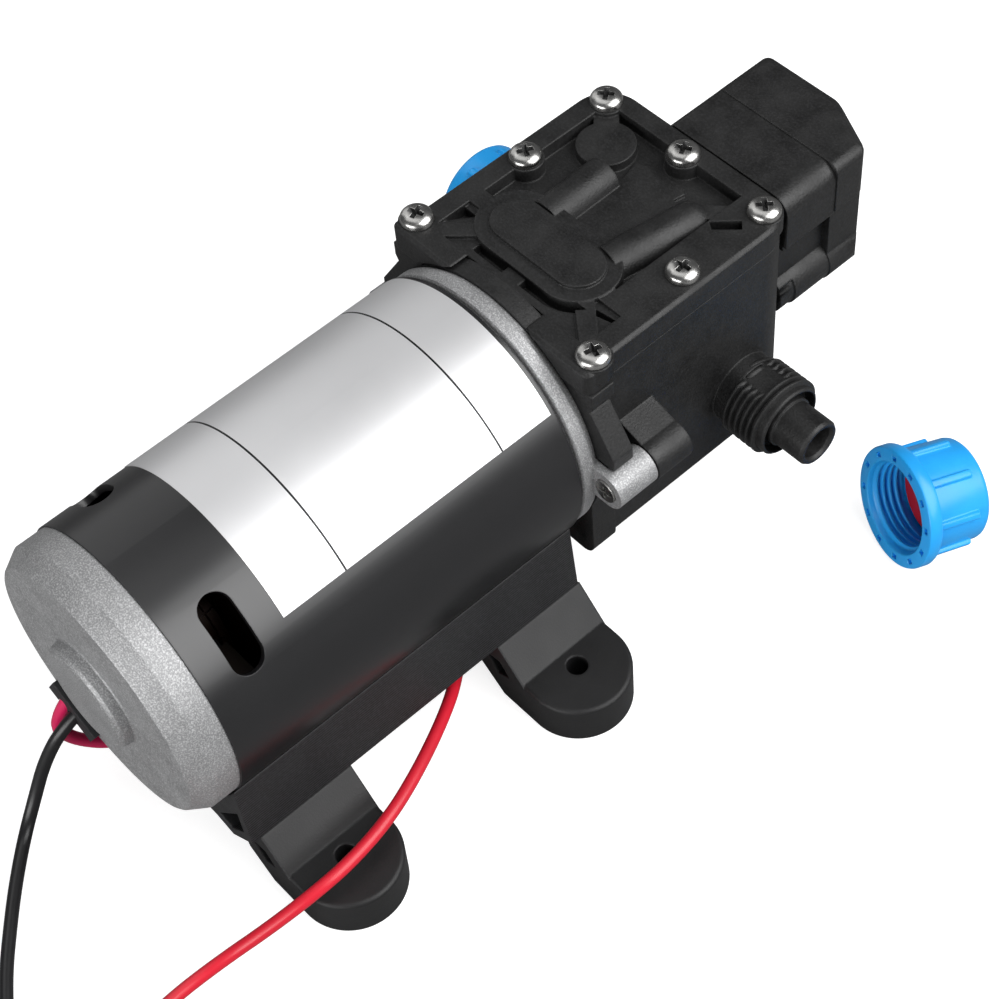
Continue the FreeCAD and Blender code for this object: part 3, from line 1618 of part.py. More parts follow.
# Leads
def lead_path(name, route):
    """Straight runs joined by tangent arcs, each arc as large as its two runs allow."""
    edges = []
    radii = []
    last = route[0]
    for before, corner, after in zip(route, route[1:], route[2:]):
        back = before - corner
        ahead = after - corner
        short = min(back.Length, ahead.Length)
        back.normalize()
        ahead.normalize()
        turn = math.pi - back.getAngle(ahead)
        cut = 0.45 * short
        radii.append(cut / math.tan(turn / 2))
        enter = corner + back * cut
        leave = corner + ahead * cut
        middle_way = (back + ahead).normalize()
        to_centre = cut / math.sin(turn / 2)
        to_arc = to_centre - radii[-1]
        edges.append(Part.LineSegment(last, enter).toShape())
        edges.append(Part.Arc(enter, corner + middle_way * to_arc, leave).toShape())
        last = leave
    edges.append(Part.LineSegment(last, route[-1]).toShape())
    path = Part.Wire(edges)
    print(name, "length", round(path.Length, 1), "radii", [round(r, 1) for r in radii])
    return path


def lead_tube(name, route):
    path = lead_path(name, route)
    direction = (route[1] - route[0]).normalize()
    section = Part.Wire([Part.Circle(route[0], direction, lead_radius).toShape()])
    tube = path.makePipeShell([section], True, True)
    expected = math.pi * lead_radius ** 2 * path.Length
    print(name, "volume over section times length", round(tube.Volume / expected, 4))
    return tube


def strand_end(route):
    direction = (route[-1] - route[-2]).normalize()
    return Part.makeCylinder(strand_radius, strand_length, route[-1], direction)


def make_stripped_ends():
    return Part.makeCompound([strand_end(black_route), strand_end(red_route)])


def all_pieces():
    pieces = {
        "motor_shell": make_motor_shell(),
        "foil_label": make_foil_label(),
        "rear_end_cap": make_rear_end_cap(),
        "motor_grommet": make_motor_grommet(),
        "front_flange": make_front_flange(),
        "field_magnets": make_field_magnets(),
        "motor_shaft": make_motor_shaft(),
        "armature_core": make_armature_core(),
        "armature_windings": make_armature_windings(),
        "commutator": make_commutator(),
        "carbon_brushes": make_carbon_brushes(),
        "brush_springs": make_brush_springs(),
        "brush_holder": make_brush_holder(),
        "rear_bearing_outer": bearing_outer(rear_bearing_y, bearing_radius, bearing_split_radius),
        "rear_bearing_inner": bearing_inner(rear_bearing_y, shaft_radius, bearing_split_radius),
        "front_bearing_outer": bearing_outer(front_bearing_y, bearing_radius, bearing_split_radius),
        "front_bearing_inner": bearing_inner(front_bearing_y, shaft_radius, bearing_split_radius),
        "head_screws": make_head_screws(),
        "eccentric": make_eccentric(),
        "eccentric_set_screw": make_eccentric_set_screw(),
        "crank_retainer": make_crank_retainer(),
        "crank_bearing_outer": bearing_outer(crank_y - crank_half_width, crank_bearing_radius, crank_bearing_split, crank_z),
        "crank_bearing_inner": bearing_inner(crank_y - crank_half_width, journal_radius, crank_bearing_split, crank_z),
        "connecting_rod": make_connecting_rod(),
        "diaphragm": make_diaphragm(),
        "diaphragm_clamp": make_diaphragm_clamp(),
        "diaphragm_screw": make_diaphragm_screw(),
        "pump_body": make_pump_body(),
        "valve_plate": make_valve_plate(),
        "inlet_valve": make_inlet_valve(),
        "outlet_valve": make_outlet_valve(),
        "cover_gasket": make_cover_gasket(),
        "top_cover": make_top_cover(),
        "cover_screws": make_cover_screws(),
        "switch_housing": make_switch_housing(),
        "switch_cap": make_switch_cap(),
        "switch_gland": make_switch_gland(),
        "switch_seal": make_switch_seal(),
        "switch_plunger": make_switch_plunger(),
        "switch_spring": make_switch_spring(),
        "micro_switch": make_micro_switch(),
        "switch_screws": make_switch_screws(),
        "inlet_cap": on_inlet(cap_shape()),
        "inlet_cap_washer": on_inlet(washer_shape()),
        "outlet_cap": on_floor(cap_shape()),
        "outlet_cap_washer": on_floor(washer_shape()),
        "base_saddle": make_base_saddle(),
        "base_screws": make_base_screws(),
        "red_lead": lead_tube("red_lead", red_route),
        "black_lead": lead_tube("black_lead", black_route),
        "jumper_lead": lead_tube("jumper_lead", jumper_route),
        "stripped_ends": make_stripped_ends(),
    }
    for side_x, x_name in ((1, "right"), (-1, "left")):
        for side_y, y_name in ((1, "front"), (-1, "rear")):
            pieces["foot_" + y_name + "_" + x_name] = make_foot(side_x, side_y)
    return pieces


os.makedirs("parts", exist_ok=True)
for node, shape in all_pieces().items():
    shape.exportStep("parts/" + node + ".step")
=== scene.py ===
# Dressed scene of the diaphragm water pump: a fixed frame, with cords, threads, caps, screws, finishes,
# floor and light. Metres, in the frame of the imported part: +Y along the motor axis, +X towards the open
# port, +Z up.
import bpy
import bmesh
import json
import math
from mathutils import Matrix, Vector


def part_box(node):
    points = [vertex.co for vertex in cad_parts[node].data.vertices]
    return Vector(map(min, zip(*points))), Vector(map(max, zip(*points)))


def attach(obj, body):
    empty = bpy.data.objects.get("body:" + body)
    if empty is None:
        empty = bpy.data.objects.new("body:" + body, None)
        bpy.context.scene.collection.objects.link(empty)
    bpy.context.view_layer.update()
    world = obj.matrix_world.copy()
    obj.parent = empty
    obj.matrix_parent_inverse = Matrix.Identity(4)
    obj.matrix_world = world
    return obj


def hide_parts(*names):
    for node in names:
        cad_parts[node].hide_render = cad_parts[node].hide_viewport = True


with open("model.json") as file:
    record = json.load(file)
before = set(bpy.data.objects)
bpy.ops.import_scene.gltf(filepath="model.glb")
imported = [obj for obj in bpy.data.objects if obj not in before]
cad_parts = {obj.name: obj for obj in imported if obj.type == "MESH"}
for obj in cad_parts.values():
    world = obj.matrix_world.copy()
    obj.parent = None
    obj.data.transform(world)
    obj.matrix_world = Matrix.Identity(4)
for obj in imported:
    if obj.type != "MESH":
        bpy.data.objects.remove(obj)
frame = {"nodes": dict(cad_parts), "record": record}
for material in list(bpy.data.materials):
    bpy.data.materials.remove(material)
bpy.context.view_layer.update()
nodes = frame["nodes"]
scene = bpy.context.scene

MM = 0.001
AXIS_Z = 57.0 * MM

# Camera, with its place in mm and its focal length in widths of its picture
CAMERA_PLACE = (268.86, -153.67, 471.22)
CAMERA_RIGHT = (0.6723, 0.7377, -0.0618)
CAMERA_DOWN = (0.5684, -0.5680, -0.5952)
CAMERA_FORWARD = (-0.4742, 0.3650, -0.8012)
CAMERA_FOCAL = 2300.0 / 1001.0
CAMERA_SENSOR = 36.0

# Lights: name, direction, distance, size, power
LIGHT_TARGET = (0.0, 0.03, 0.05)
LIGHTS = (
    ("key_light", (0.64, 0.36, 0.68), 1.1, (1.1, 1.1), 17.0),
    ("left_fill", (-0.9, 0.1, 0.55), 1.6, (0.8, 1.4), 2.6),
    ("rear_fill", (0.15, -1.0, 0.2), 1.6, (1.4, 0.6), 17.0),
    ("top_fill", (-0.30, -0.10, 0.95), 1.4, (0.8, 1.4), 3.2),
)
WORLD_SEEN = (0.96, 0.96, 0.96, 1)
WORLD_CAST = (0.10, 0.101, 0.103, 1)

# Floor
FLOOR_HALF = 4.0
FLOOR_DROP = 0.2 * MM
FLOOR_EMISSION = 0.82
FLOOR_CAST = (0.24, 0.24, 0.24, 1)

# Finishes. Grain and mottle are a scale per metre and a strength; edge is the width of the rounded edges,
# whose colour is lifted as a painted highlight.
FINISHES = {
    "shell_steel": dict(
        colour=(0.008, 0.008, 0.009), roughness=0.32, grain=(700, 0.05), grain_depth=0.00006,
        mottle=(30, 0.10), rough_swing=0.02, edge=0.0003, edge_highlight_lift=3.0, specular=0.75,
    ),
    "foil": dict(
        colour=(0.80, 0.80, 0.81), roughness=0.42, metallic=0.60, grain=(900, 0.03), mottle=(25, 0.03),
        rough_swing=0.03,
    ),
    "cast_alloy": dict(
        colour=(0.32, 0.322, 0.326), roughness=0.56, metallic=0.55, grain=(2200, 0.65), grain_depth=0.00013,
        mottle=(160, 0.08), rough_swing=0.06, edge=0.0004, edge_highlight_lift=1.30,
    ),
    "saddle_plastic": dict(
        colour=(0.013, 0.013, 0.014), roughness=0.55, grain=(2600, 0.35), grain_depth=0.00015,
        mottle=(70, 0.15), rough_swing=0.06, edge=0.0006, edge_highlight_lift=2.0,
    ),
    "black_plastic": dict(
        colour=(0.009, 0.009, 0.009), roughness=0.50, grain=(1700, 0.65), grain_depth=0.00014,
        mottle=(130, 0.42), rough_swing=0.09, edge=0.0006, edge_highlight_lift=3.2,
    ),
    "foot_rubber": dict(
        colour=(0.0085, 0.0085, 0.009), roughness=0.50, grain=(2200, 0.30), grain_depth=0.00010,
        mottle=(70, 0.20), rough_swing=0.05, edge=0.0008, edge_highlight_lift=2.6,
    ),
    "black_rubber": dict(
        colour=(0.022, 0.022, 0.024), roughness=0.62, grain=(1500, 0.5), grain_depth=0.00012,
        mottle=(120, 0.2), rough_swing=0.05, edge=0.0004, edge_highlight_lift=1.8,
    ),
    "blue_plastic": dict(
        colour=(0.02, 0.40, 0.96), roughness=0.34, grain=(1400, 0.10), grain_depth=0.00006,
        mottle=(110, 0.06), rough_swing=0.04, edge=0.0005, edge_highlight_lift=1.25,
    ),
    "red_rubber": dict(colour=(0.42, 0.006, 0.02), roughness=0.55, grain=(1500, 0.2), edge=0.0004),
    "red_sleeve": dict(
        colour=(0.70, 0.014, 0.034), roughness=0.38, grain=(1200, 0.12), grain_depth=0.00005,
        mottle=(90, 0.06), rough_swing=0.03, coat=(0.15, 0.25),
    ),
    "black_sleeve": dict(
        colour=(0.012, 0.012, 0.013), roughness=0.36, grain=(1200, 0.10), grain_depth=0.00005,
        mottle=(90, 0.12), rough_swing=0.04,
    ),
    "pink_sleeve": dict(
        colour=(0.82, 0.02, 0.13), roughness=0.32, grain=(1200, 0.08), grain_depth=0.00005,
        mottle=(90, 0.06), rough_swing=0.03, coat=(0.2, 0.2),
    ),
    "screw_steel": dict(
        colour=(0.52, 0.515, 0.50), roughness=0.27, metallic=1.0, grain=(1600, 0.06), grain_depth=0.00004,
        mottle=(300, 0.10), rough_swing=0.05, edge=0.0003, edge_highlight_lift=1.15,
    ),
    # Painted shade for the cross recesses of the screw heads
    "screw_recess_shade": dict(
        colour=(0.07, 0.07, 0.07), roughness=0.45, metallic=0.6, grain=(1600, 0.3), grain_depth=0.00005,
        mottle=(300, 0.2),
    ),
    "ferrite": dict(colour=(0.045, 0.045, 0.048), roughness=0.7, grain=(900, 0.5), edge=0.0005),
    "board": dict(colour=(0.018, 0.011, 0.007), roughness=0.6, grain=(600, 0.3), stretch=(1, 1, 0.2)),
    "carbon": dict(colour=(0.03, 0.03, 0.032), roughness=0.45, metallic=0.2, grain=(2000, 0.4)),
    "spring_steel": dict(colour=(0.5, 0.5, 0.52), roughness=0.3, metallic=1.0, grain=(800, 0.2)),
    "bearing_steel": dict(
        colour=(0.6, 0.6, 0.62), roughness=0.2, metallic=1.0, grain=(900, 0.1), stretch=(1, 0.1, 1),
    ),
    "shaft_steel": dict(
        colour=(0.5, 0.5, 0.51), roughness=0.25, metallic=1.0, grain=(900, 0.2), stretch=(0.1, 1, 0.1),
    ),
    "core_steel": dict(
        colour=(0.06, 0.06, 0.065), roughness=0.55, metallic=1.0, grain=(500, 0.6), stretch=(0.05, 3, 0.05),
    ),
    # Painted shade: copper darkened nearly to black so that the windings inside the vents look shaded; the
    # bare strands of the leads share this finish
    "copper": dict(
        colour=(0.028, 0.011, 0.006), roughness=0.5, metallic=0.4, grain=(1100, 0.5), stretch=(1, 0.2, 1),
    ),
    "white_plastic": dict(colour=(0.7, 0.7, 0.66), roughness=0.5, grain=(1500, 0.2), edge=0.0004),
    "grey_plastic": dict(colour=(0.12, 0.12, 0.13), roughness=0.5, grain=(1500, 0.3), edge=0.0005),
}
FLOOR_FINISH = dict(
    colour=(0.55, 0.55, 0.55), roughness=0.7, grain=(400, 0.01), mottle=(3, 0.004), rough_swing=0.01,
)
# Lighter specks of some finishes: scale, amount, colour
SPECKS = {
    "cast_alloy": (2900, 0.75, (0.70, 0.70, 0.71)),
    "black_plastic": (1600, 0.50, (0.026, 0.026, 0.027)),
    "saddle_plastic": (1300, 0.6, (0.036, 0.036, 0.038)),
}
# Bands of the noise or mask that the colours are spread over
MOTTLE_BAND = (0.3, 0.7)
SPECK_BAND = (0.44, 0.74)
EDGE_BAND = (0.80, 0.99)
# Share of the painted edge highlight that is mixed into the colour at an edge
EDGE_HIGHLIGHT_SHARE = 0.75
LABEL_LINES = (33.9 * MM, -10.4 * MM)
LABEL_LINE_HALF = 0.24 * MM
LABEL_LINE_COLOUR = (0.02, 0.02, 0.022)
SADDLE_LINE_SCALE = 420.0
SADDLE_LINE_STRENGTH = 0.55
SADDLE_LINE_DEPTH = 0.00014

# Meshes: angles in degrees above which an edge stays sharp, and the gap over which vertices are welded
FRAME_SHARP_DEG = 28
SWITCH_SHARP_DEG = 28
REAR_CAP_SHARP_DEG = 24
PORT_SHARP_DEG = 35
THREAD_SHARP_DEG = 25
CAP_SHARP_DEG = 32
SCREW_SHARP_DEG = 30
WELD_GAP = 0.000002

# Rear end cap in mm: conical slope, flat face, round boss in its middle
REAR_CAP_PROFILE = (
    (-45.8, 31.5), (-45.8, 33.35), (-49.8, 33.35), (-49.8, 35.0), (-56.2, 35.0), (-56.6, 34.8),
    (-60.5, 32.4), (-60.9, 31.9), (-60.9, 13.8), (-61.2, 13.5), (-62.4, 13.45), (-63.4, 13.1),
    (-64.1, 12.4), (-64.5, 11.3), (-64.5, 0.0), (-63.1, 0.0), (-63.1, 11.0), (-56.1, 11.0),
    (-56.1, 13.6), (-58.3, 13.6), (-58.3, 29.4), (-54.8, 31.5),
)
REAR_CAP_SEGMENTS = 160
# Room for the grommet in mm: half width, rear and front, inner and outer distance from the motor axis
GROMMET_ROOM = (7.85, -63.1, -52.75, 24.55, 31.65)
GROMMET_ANGLE = 211.6

# Port and its thread
PORT_Y = 105.0 * MM
PORT_Z = 43.3 * MM
THREAD_START = 33.2 * MM
THREAD_PITCH = 1.814 * MM
THREAD_TURNS = 7.0
THREAD_LEAD_IN = 0.4
THREAD_CREST = 10.478 * MM
THREAD_ROOT = 9.32 * MM
THREAD_ROOT_WIDTH = THREAD_PITCH * 0.92
THREAD_CREST_WIDTH = THREAD_PITCH * 0.30
THREAD_SEGMENTS = 72
THREAD_FADE_TURNS = 0.35
THREAD_LEAST_HEIGHT = 0.02
THREAD_BURIED = 0.12
PORT_FLAT = (35.0 * MM, 42.5 * MM, 8.7 * MM)
PORT_FLAT_DROP = 0.05 * MM

# Pressure switch in mm: tube (x, z, radius) beside its lower box, shoulder, chamfered and rounded cap
SWITCH_TUBE = (21.4, 55.8, 6.5)
SWITCH_ROOM = (24.6, 73.6)
SWITCH_SHOULDER = 5.0
SWITCH_CHAMFER = (15.3, 7.4)
SWITCH_CAP_ROUND = 2.4
SWITCH_CAP_OVERLAP = 9
SHOULDER_STEPS = 8
TUBE_SEGMENTS = 96
CUT_MARGIN = 1

# Screw caps
CAP_LENGTH = 19.2 * MM
CAP_RADIUS = 13.2 * MM
CAP_FLANGE_RADIUS = 15.6 * MM
CAP_FLANGE_LENGTH = 4.0 * MM
CAP_END = 2.2 * MM
CAP_THREAD_CREST = 10.58 * MM
CAP_THREAD_ROOT = 11.5 * MM
CAP_THREAD_START = 1.6 * MM
CAP_THREAD_TURNS = 4.4
CAP_THREAD_ROOT_WIDTH = THREAD_PITCH * 0.9
CAP_BORE_RADIUS = 7.2 * MM
CAP_SEGMENTS = 128
CAP_RIBS = 8
RIB_HALF_WIDTH = 1.2 * MM
RIB_HEIGHT = 1.0 * MM
RIB_FROM_END = 3.4 * MM
RIB_TOP_SHARE = 0.72
RIB_TOP_SLOPE = 0.5 * MM
RIB_ROUND = 0.35 * MM
RIB_BURIED = 1.2 * MM
CAP_POCKETS = 12
POCKET_LOW = (-1 * MM, -0.85 * MM, 12.9 * MM)
POCKET_HIGH = (1.1 * MM, 0.85 * MM, 14.2 * MM)
WASHER_FROM_MOUTH = 10.0 * MM
WASHER_THICKNESS = 2.0 * MM
INLET_CAP_END = 62.7 * MM
LOOSE_CAP_PLACE = (69.2 * MM, 119.9 * MM)
LOOSE_CAP_TURN = 72.4

# Cover screws
SCREW_RADIUS = 4.0 * MM
SCREW_HEIGHT = 2.6 * MM
SCREW_RIM = 0.75 * MM
SCREW_TOP_SHARE = 0.30
SCREW_DOME_STEPS = 9
SCREW_SEGMENTS = 64
SCREW_SHANK_RADIUS = 1.9 * MM
SCREW_SHANK_DEPTH = 0.6 * MM
SCREW_SPACING = 5 * MM
SCREW_TURNS = (20, 64, 38, 75, 8, 50, 27)
RECESS_MOUTH = (2.30 * MM, 0.66 * MM)
RECESS_FOOT = (0.85 * MM, 0.36 * MM)
RECESS_DEPTH = 1.75 * MM
RECESS_REACH = 2.45 * MM

# Leads: the part's own route points in mm
LEAD_RADIUS = 1.6 * MM
BLACK_ROUTE = (
    (-14.3, -58.6, 33.4), (-15.4, -66.4, 29.2), (-17.6, -72.6, 18.6), (-17.9, -77.6, 8.8),
    (-15.6, -83.6, 2.6), (-9.6, -90.2, 1.7), (-1.8, -97.5, 1.7), (13.0, -110.0, 1.7),
    (31.0, -120.4, 1.7), (49.0, -127.6, 1.7),
)
RED_ROUTE = (
    (3.0, 146.8, 39.7), (3.0, 146.8, 28.0), (2.6, 139.0, 13.5), (1.6, 122.0, 4.6),
    (-2.0, 96.0, 1.8), (-3.0, 66.0, 1.8), (2.0, 44.0, 1.9), (12.0, 29.0, 3.0),
    (27.2, 13.6, 8.3), (35.5, 2.2, 13.0), (43.0, -11.4, 16.0), (48.4, -24.4, 17.6),
    (50.9, -37.4, 18.0), (51.0, -48.0, 17.4), (47.4, -59.2, 10.8), (42.3, -71.4, 3.0),
    (41.2, -85.2, 1.7), (43.0, -104.0, 1.7), (50.4, -121.0, 1.7),
)
JUMPER_ROUTE = (
    (-3.0, 146.8, 39.7), (-3.0, 146.8, 28.0), (-3.4, 139.0, 13.5), (-5.0, 122.0, 4.6),
    (-9.4, 96.0, 1.8), (-11.4, 66.0, 1.8), (-11.0, 38.0, 2.2), (-9.0, 10.0, 4.0),
    (-9.4, -18.0, 5.4), (-12.6, -40.0, 6.4), (-16.0, -55.0, 8.6), (-20.0, -63.8, 16.0),
    (-20.6, -66.4, 26.0), (-17.3, -60.4, 35.4),
)
# Bare copper end of a lead: one strand in the middle and six round it, lengths in mm
STRANDS = 7
STRAND_RADIUS = 0.21 * MM
STRAND_REACH = 0.55 * MM
STRAND_TWIST = 0.55
STRAND_STEPS = 7
STRAND_TUCK = 0.8
STRAND_LENGTH = 7.8
STRAND_STAGGER = 0.25


# Objects
def linked(name, data):
    """New object in the scene."""
    made = bpy.data.objects.new(name, data)
    scene.collection.objects.link(made)
    return made


# Camera, light and floor
def make_camera():
    data = bpy.data.cameras.new("camera")
    data.sensor_width = CAMERA_SENSOR
    data.lens = CAMERA_FOCAL * CAMERA_SENSOR
    data.clip_start = 0.01
    camera = linked("camera", data)
    axes = (Vector(CAMERA_RIGHT), -Vector(CAMERA_DOWN), -Vector(CAMERA_FORWARD))
    turn = Matrix(axes).transposed().to_4x4()
    camera.matrix_world = Matrix.Translation(Vector(CAMERA_PLACE) * MM) @ turn
    scene.camera = camera


def area_light(name, direction, distance, size, power):
    data = bpy.data.lights.new(name, "AREA")
    data.shape = "RECTANGLE"
    data.size = size[0]
    data.size_y = size[1]
    data.energy = power
    light = linked(name, data)
    target = Vector(LIGHT_TARGET)
    place = target + Vector(direction).normalized() * distance
    light.location = place
    light.rotation_euler = (place - target).to_track_quat("Z", "Y").to_euler()


def seen_and_cast(tree, seen, cast, out):
    """One shader for what the camera sees, another for the light that is cast."""
    path = add(tree, "ShaderNodeLightPath")
    mix = add(tree, "ShaderNodeMixShader")
    tree.links.new(path.outputs["Is Camera Ray"], mix.inputs["Fac"])
    tree.links.new(cast.outputs[0], mix.inputs[1])
    tree.links.new(seen.outputs[0], mix.inputs[2])
    tree.links.new(mix.outputs[0], out.inputs["Surface"])


def make_light():
    for light in LIGHTS:
        area_light(*light)
    world = bpy.data.worlds.new("studio")
    scene.world = world
    world.use_nodes = True
    tree = world.node_tree
    tree.nodes.clear()
    out = add(tree, "ShaderNodeOutputWorld")
    seen = add(tree, "ShaderNodeBackground", Color=WORLD_SEEN)
    cast = add(tree, "ShaderNodeBackground", Color=WORLD_CAST)
    seen_and_cast(tree, seen, cast, out)
    scene.view_settings.view_transform = "Standard"


def make_floor():
    half = FLOOR_HALF
    corners = [(-half, -half, 0), (half, -half, 0), (half, half, 0), (-half, half, 0)]
    floor = mesh_object("floor", corners, [(0, 1, 2, 3)], False)
    floor.location = (0, 0, -FLOOR_DROP)
    floor.data.materials.append(floor_material())


def floor_material():
    """Pale studio floor: bright to the camera, and duller for the light that it throws back."""
    material = surface("floor_white", **FLOOR_FINISH)
    tree = material.node_tree
    bsdf = tree.nodes["shader"]
    bsdf.inputs["Emission Color"].default_value = (1, 1, 1, 1)
    bsdf.inputs["Emission Strength"].default_value = FLOOR_EMISSION
    dull = add(tree, "ShaderNodeBsdfDiffuse", Color=FLOOR_CAST)
    out = next(node for node in tree.nodes if node.type == "OUTPUT_MATERIAL")
    seen_and_cast(tree, bsdf, dull, out)
    return material


# Materials
def add(tree, kind, **values):
    """New shader node with its inputs set by name."""
    made = tree.nodes.new(kind)
    for name, value in values.items():
        made.inputs[name.replace("_", " ")].default_value = value
    return made


def object_place(tree):
    """Coordinates in the object's own metres."""
    return add(tree, "ShaderNodeTexCoord").outputs["Object"]


def noise(tree, scale, detail=3.0, roughness=0.55, stretch=None):
    """Noise in the object's own metres, with an optional stretch along the axes."""
    made = add(tree, "ShaderNodeTexNoise", Scale=scale, Detail=detail, Roughness=roughness)
    source = object_place(tree)
    if stretch:
        mapping = add(tree, "ShaderNodeMapping", Scale=stretch)
        tree.links.new(source, mapping.inputs["Vector"])
        source = mapping.outputs["Vector"]
    tree.links.new(source, made.inputs["Vector"])
    return made.outputs["Fac"]


def span(tree, value, low, high, from_low=0.0, from_high=1.0):
    """Value stretched from one range onto another."""
    ends = {"From Min": from_low, "From Max": from_high, "To Min": low, "To Max": high}
    made = add(tree, "ShaderNodeMapRange", **ends)
    tree.links.new(value, made.inputs["Value"])
    return made.outputs["Result"]


def blend_colours(tree, fac, one, two):
    made = tree.nodes.new("ShaderNodeMix")
    made.data_type = "RGBA"
    tree.links.new(fac, made.inputs["Factor"])
    for socket, colour in ((made.inputs["A"], one), (made.inputs["B"], two)):
        if isinstance(colour, tuple):
            socket.default_value = (*colour, 1)
        else:
            tree.links.new(colour, socket)
    return made.outputs["Result"]


def scaled(colour, factor):
    return tuple(min(1.0, c * factor) for c in colour)


def bump(tree, height, strength, distance, normal=None):
    made = add(tree, "ShaderNodeBump", Strength=strength, Distance=distance)
    tree.links.new(height, made.inputs["Height"])
    if normal:
        tree.links.new(normal, made.inputs["Normal"])
    return made.outputs["Normal"]


def edge_mask(tree, rounded_normal):
    """Value that rises from 0 on a flat face to 1 close to an edge."""
    flat = add(tree, "ShaderNodeNewGeometry")
    dot = add(tree, "ShaderNodeVectorMath")
    dot.operation = "DOT_PRODUCT"
    tree.links.new(rounded_normal, dot.inputs[0])
    tree.links.new(flat.outputs["Normal"], dot.inputs[1])
    return span(tree, dot.outputs["Value"], 1.0, 0.0, *EDGE_BAND)


def surface(
    name,
    colour,
    roughness,
    metallic=0.0,
    grain=(2500, 0.2),
    grain_depth=0.00008,
    mottle=(60, 0.12),
    rough_swing=0.06,
    edge=None,
    edge_highlight_lift=1.6,
    coat=None,
    specular=0.5,
    stretch=None,
):
    """Painted, moulded or cast surface: grain in the bump, mottled colour, and a painted highlight that
    lifts the colour at the edges.
    """
    material = bpy.data.materials.new(name)
    material.use_nodes = True
    tree = material.node_tree
    tree.nodes.clear()
    out = add(tree, "ShaderNodeOutputMaterial")
    bsdf = add(tree, "ShaderNodeBsdfPrincipled")
    bsdf.name = "shader"
    tree.links.new(bsdf.outputs["BSDF"], out.inputs["Surface"])
    bsdf.inputs["Metallic"].default_value = metallic
    bsdf.inputs["Specular IOR Level"].default_value = specular
    if coat:
        bsdf.inputs["Coat Weight"].default_value = coat[0]
        bsdf.inputs["Coat Roughness"].default_value = coat[1]
    patch_scale, patch_amount = mottle
    patches = noise(tree, patch_scale, 4.0)
    darker = scaled(colour, 1 - patch_amount)
    lighter = scaled(colour, 1 + patch_amount)
    base = blend_colours(tree, span(tree, patches, 0, 1, *MOTTLE_BAND), darker, lighter)
    rough = span(tree, patches, roughness - rough_swing, roughness + rough_swing, *MOTTLE_BAND)
    normal = None
    if edge:
        bevel = add(tree, "ShaderNodeBevel", Radius=edge)
        bevel.samples = 4
        normal = bevel.outputs["Normal"]
        # Painted highlight: the colour is lifted towards the edges, where the rounded normal turns away
        # from the flat one
        highlit_edges = span(tree, edge_mask(tree, normal), 0.0, EDGE_HIGHLIGHT_SHARE)
        base = blend_colours(tree, highlit_edges, base, scaled(colour, edge_highlight_lift))
    grain_scale, grain_strength = grain
    fine = noise(tree, grain_scale, 2.0, 0.6, stretch)
    normal = bump(tree, fine, grain_strength, grain_depth, normal)
    tree.links.new(base, bsdf.inputs["Base Color"])
    tree.links.new(rough, bsdf.inputs["Roughness"])
    tree.links.new(normal, bsdf.inputs["Normal"])
    return material


def add_specks(material, scale, amount, colour):
    """Fine lighter specks over the base colour of a finish."""
    tree = material.node_tree
    base = tree.nodes["shader"].inputs["Base Color"]
    specks = span(tree, noise(tree, scale, 1.0, 0.5), 0.0, amount, *SPECK_BAND)
    tree.links.new(blend_colours(tree, specks, base.links[0].from_socket, colour), base)


def add_label_lines(material):
    """Two plain thin lines round the motor."""
    tree = material.node_tree
    base = tree.nodes["shader"].inputs["Base Color"]
    parts = add(tree, "ShaderNodeSeparateXYZ")
    tree.links.new(object_place(tree), parts.inputs[0])
    colour = base.links[0].from_socket
    for level in LABEL_LINES:
        line = add(tree, "ShaderNodeMath")
        line.operation = "COMPARE"
        line.inputs[1].default_value = level
        line.inputs[2].default_value = LABEL_LINE_HALF
        tree.links.new(parts.outputs["Y"], line.inputs[0])
        colour = blend_colours(tree, line.outputs[0], colour, LABEL_LINE_COLOUR)
    tree.links.new(colour, base)


def add_saddle_lines(material):
    """Fine lines along the saddle's length."""
    tree = material.node_tree
    normal = tree.nodes["shader"].inputs["Normal"]
    wave = add(tree, "ShaderNodeTexWave", Scale=SADDLE_LINE_SCALE, Distortion=2.0, Detail=2.0)
    wave.bands_direction = "Z"
    tree.links.new(object_place(tree), wave.inputs["Vector"])
    under = normal.links[0].from_socket
    lines = bump(tree, wave.outputs["Fac"], SADDLE_LINE_STRENGTH, SADDLE_LINE_DEPTH, under)
    tree.links.new(lines, normal)


def make_materials():
    """Every finish by its name."""
    made = {name: surface(name, **values) for name, values in FINISHES.items()}
    for name, values in SPECKS.items():
        add_specks(made[name], *values)
    add_label_lines(made["foil"])
    add_saddle_lines(made["saddle_plastic"])
    return made


def smooth(data, sharp_deg):
    data.shade_smooth()
    data.set_sharp_from_angle(angle=math.radians(sharp_deg))


def dress_frame():
    """Give every carried-over node the finish of its slot."""
    for entry in frame["record"]["subparts"]:
        data = nodes[entry["node"]].data
        data.materials.clear()
        data.materials.append(finishes[entry["material_slot"]])
        smooth(data, FRAME_SHARP_DEG)


# Mesh helpers
def mesh_object(name, points, faces, smoothed=True, sharp_deg=30):
    data = bpy.data.meshes.new(name)
    data.from_pydata([Vector(p) for p in points], [], faces)
    data.validate()
    data.update()
    if smoothed:
        smooth(data, sharp_deg)
    return linked(name, data)


def outward(piece):
    """Turn all faces of a closed piece outwards."""
    mesh = bmesh.new()
    mesh.from_mesh(piece.data)
    bmesh.ops.recalc_face_normals(mesh, faces=mesh.faces)
    mesh.to_mesh(piece.data)
    mesh.free()


def side_faces(one, two, count):
    """Quads between two rings of vertex numbers; a ring of one vertex is a point on the axis."""
    faces = []
    for number in range(count):
        after = (number + 1) % count
        if len(one) == 1:
            faces.append((one[0], two[after], two[number]))
        elif len(two) == 1:
            faces.append((one[number], one[after], two[0]))
        else:
            faces.append((one[number], one[after], two[after], two[number]))
    return faces


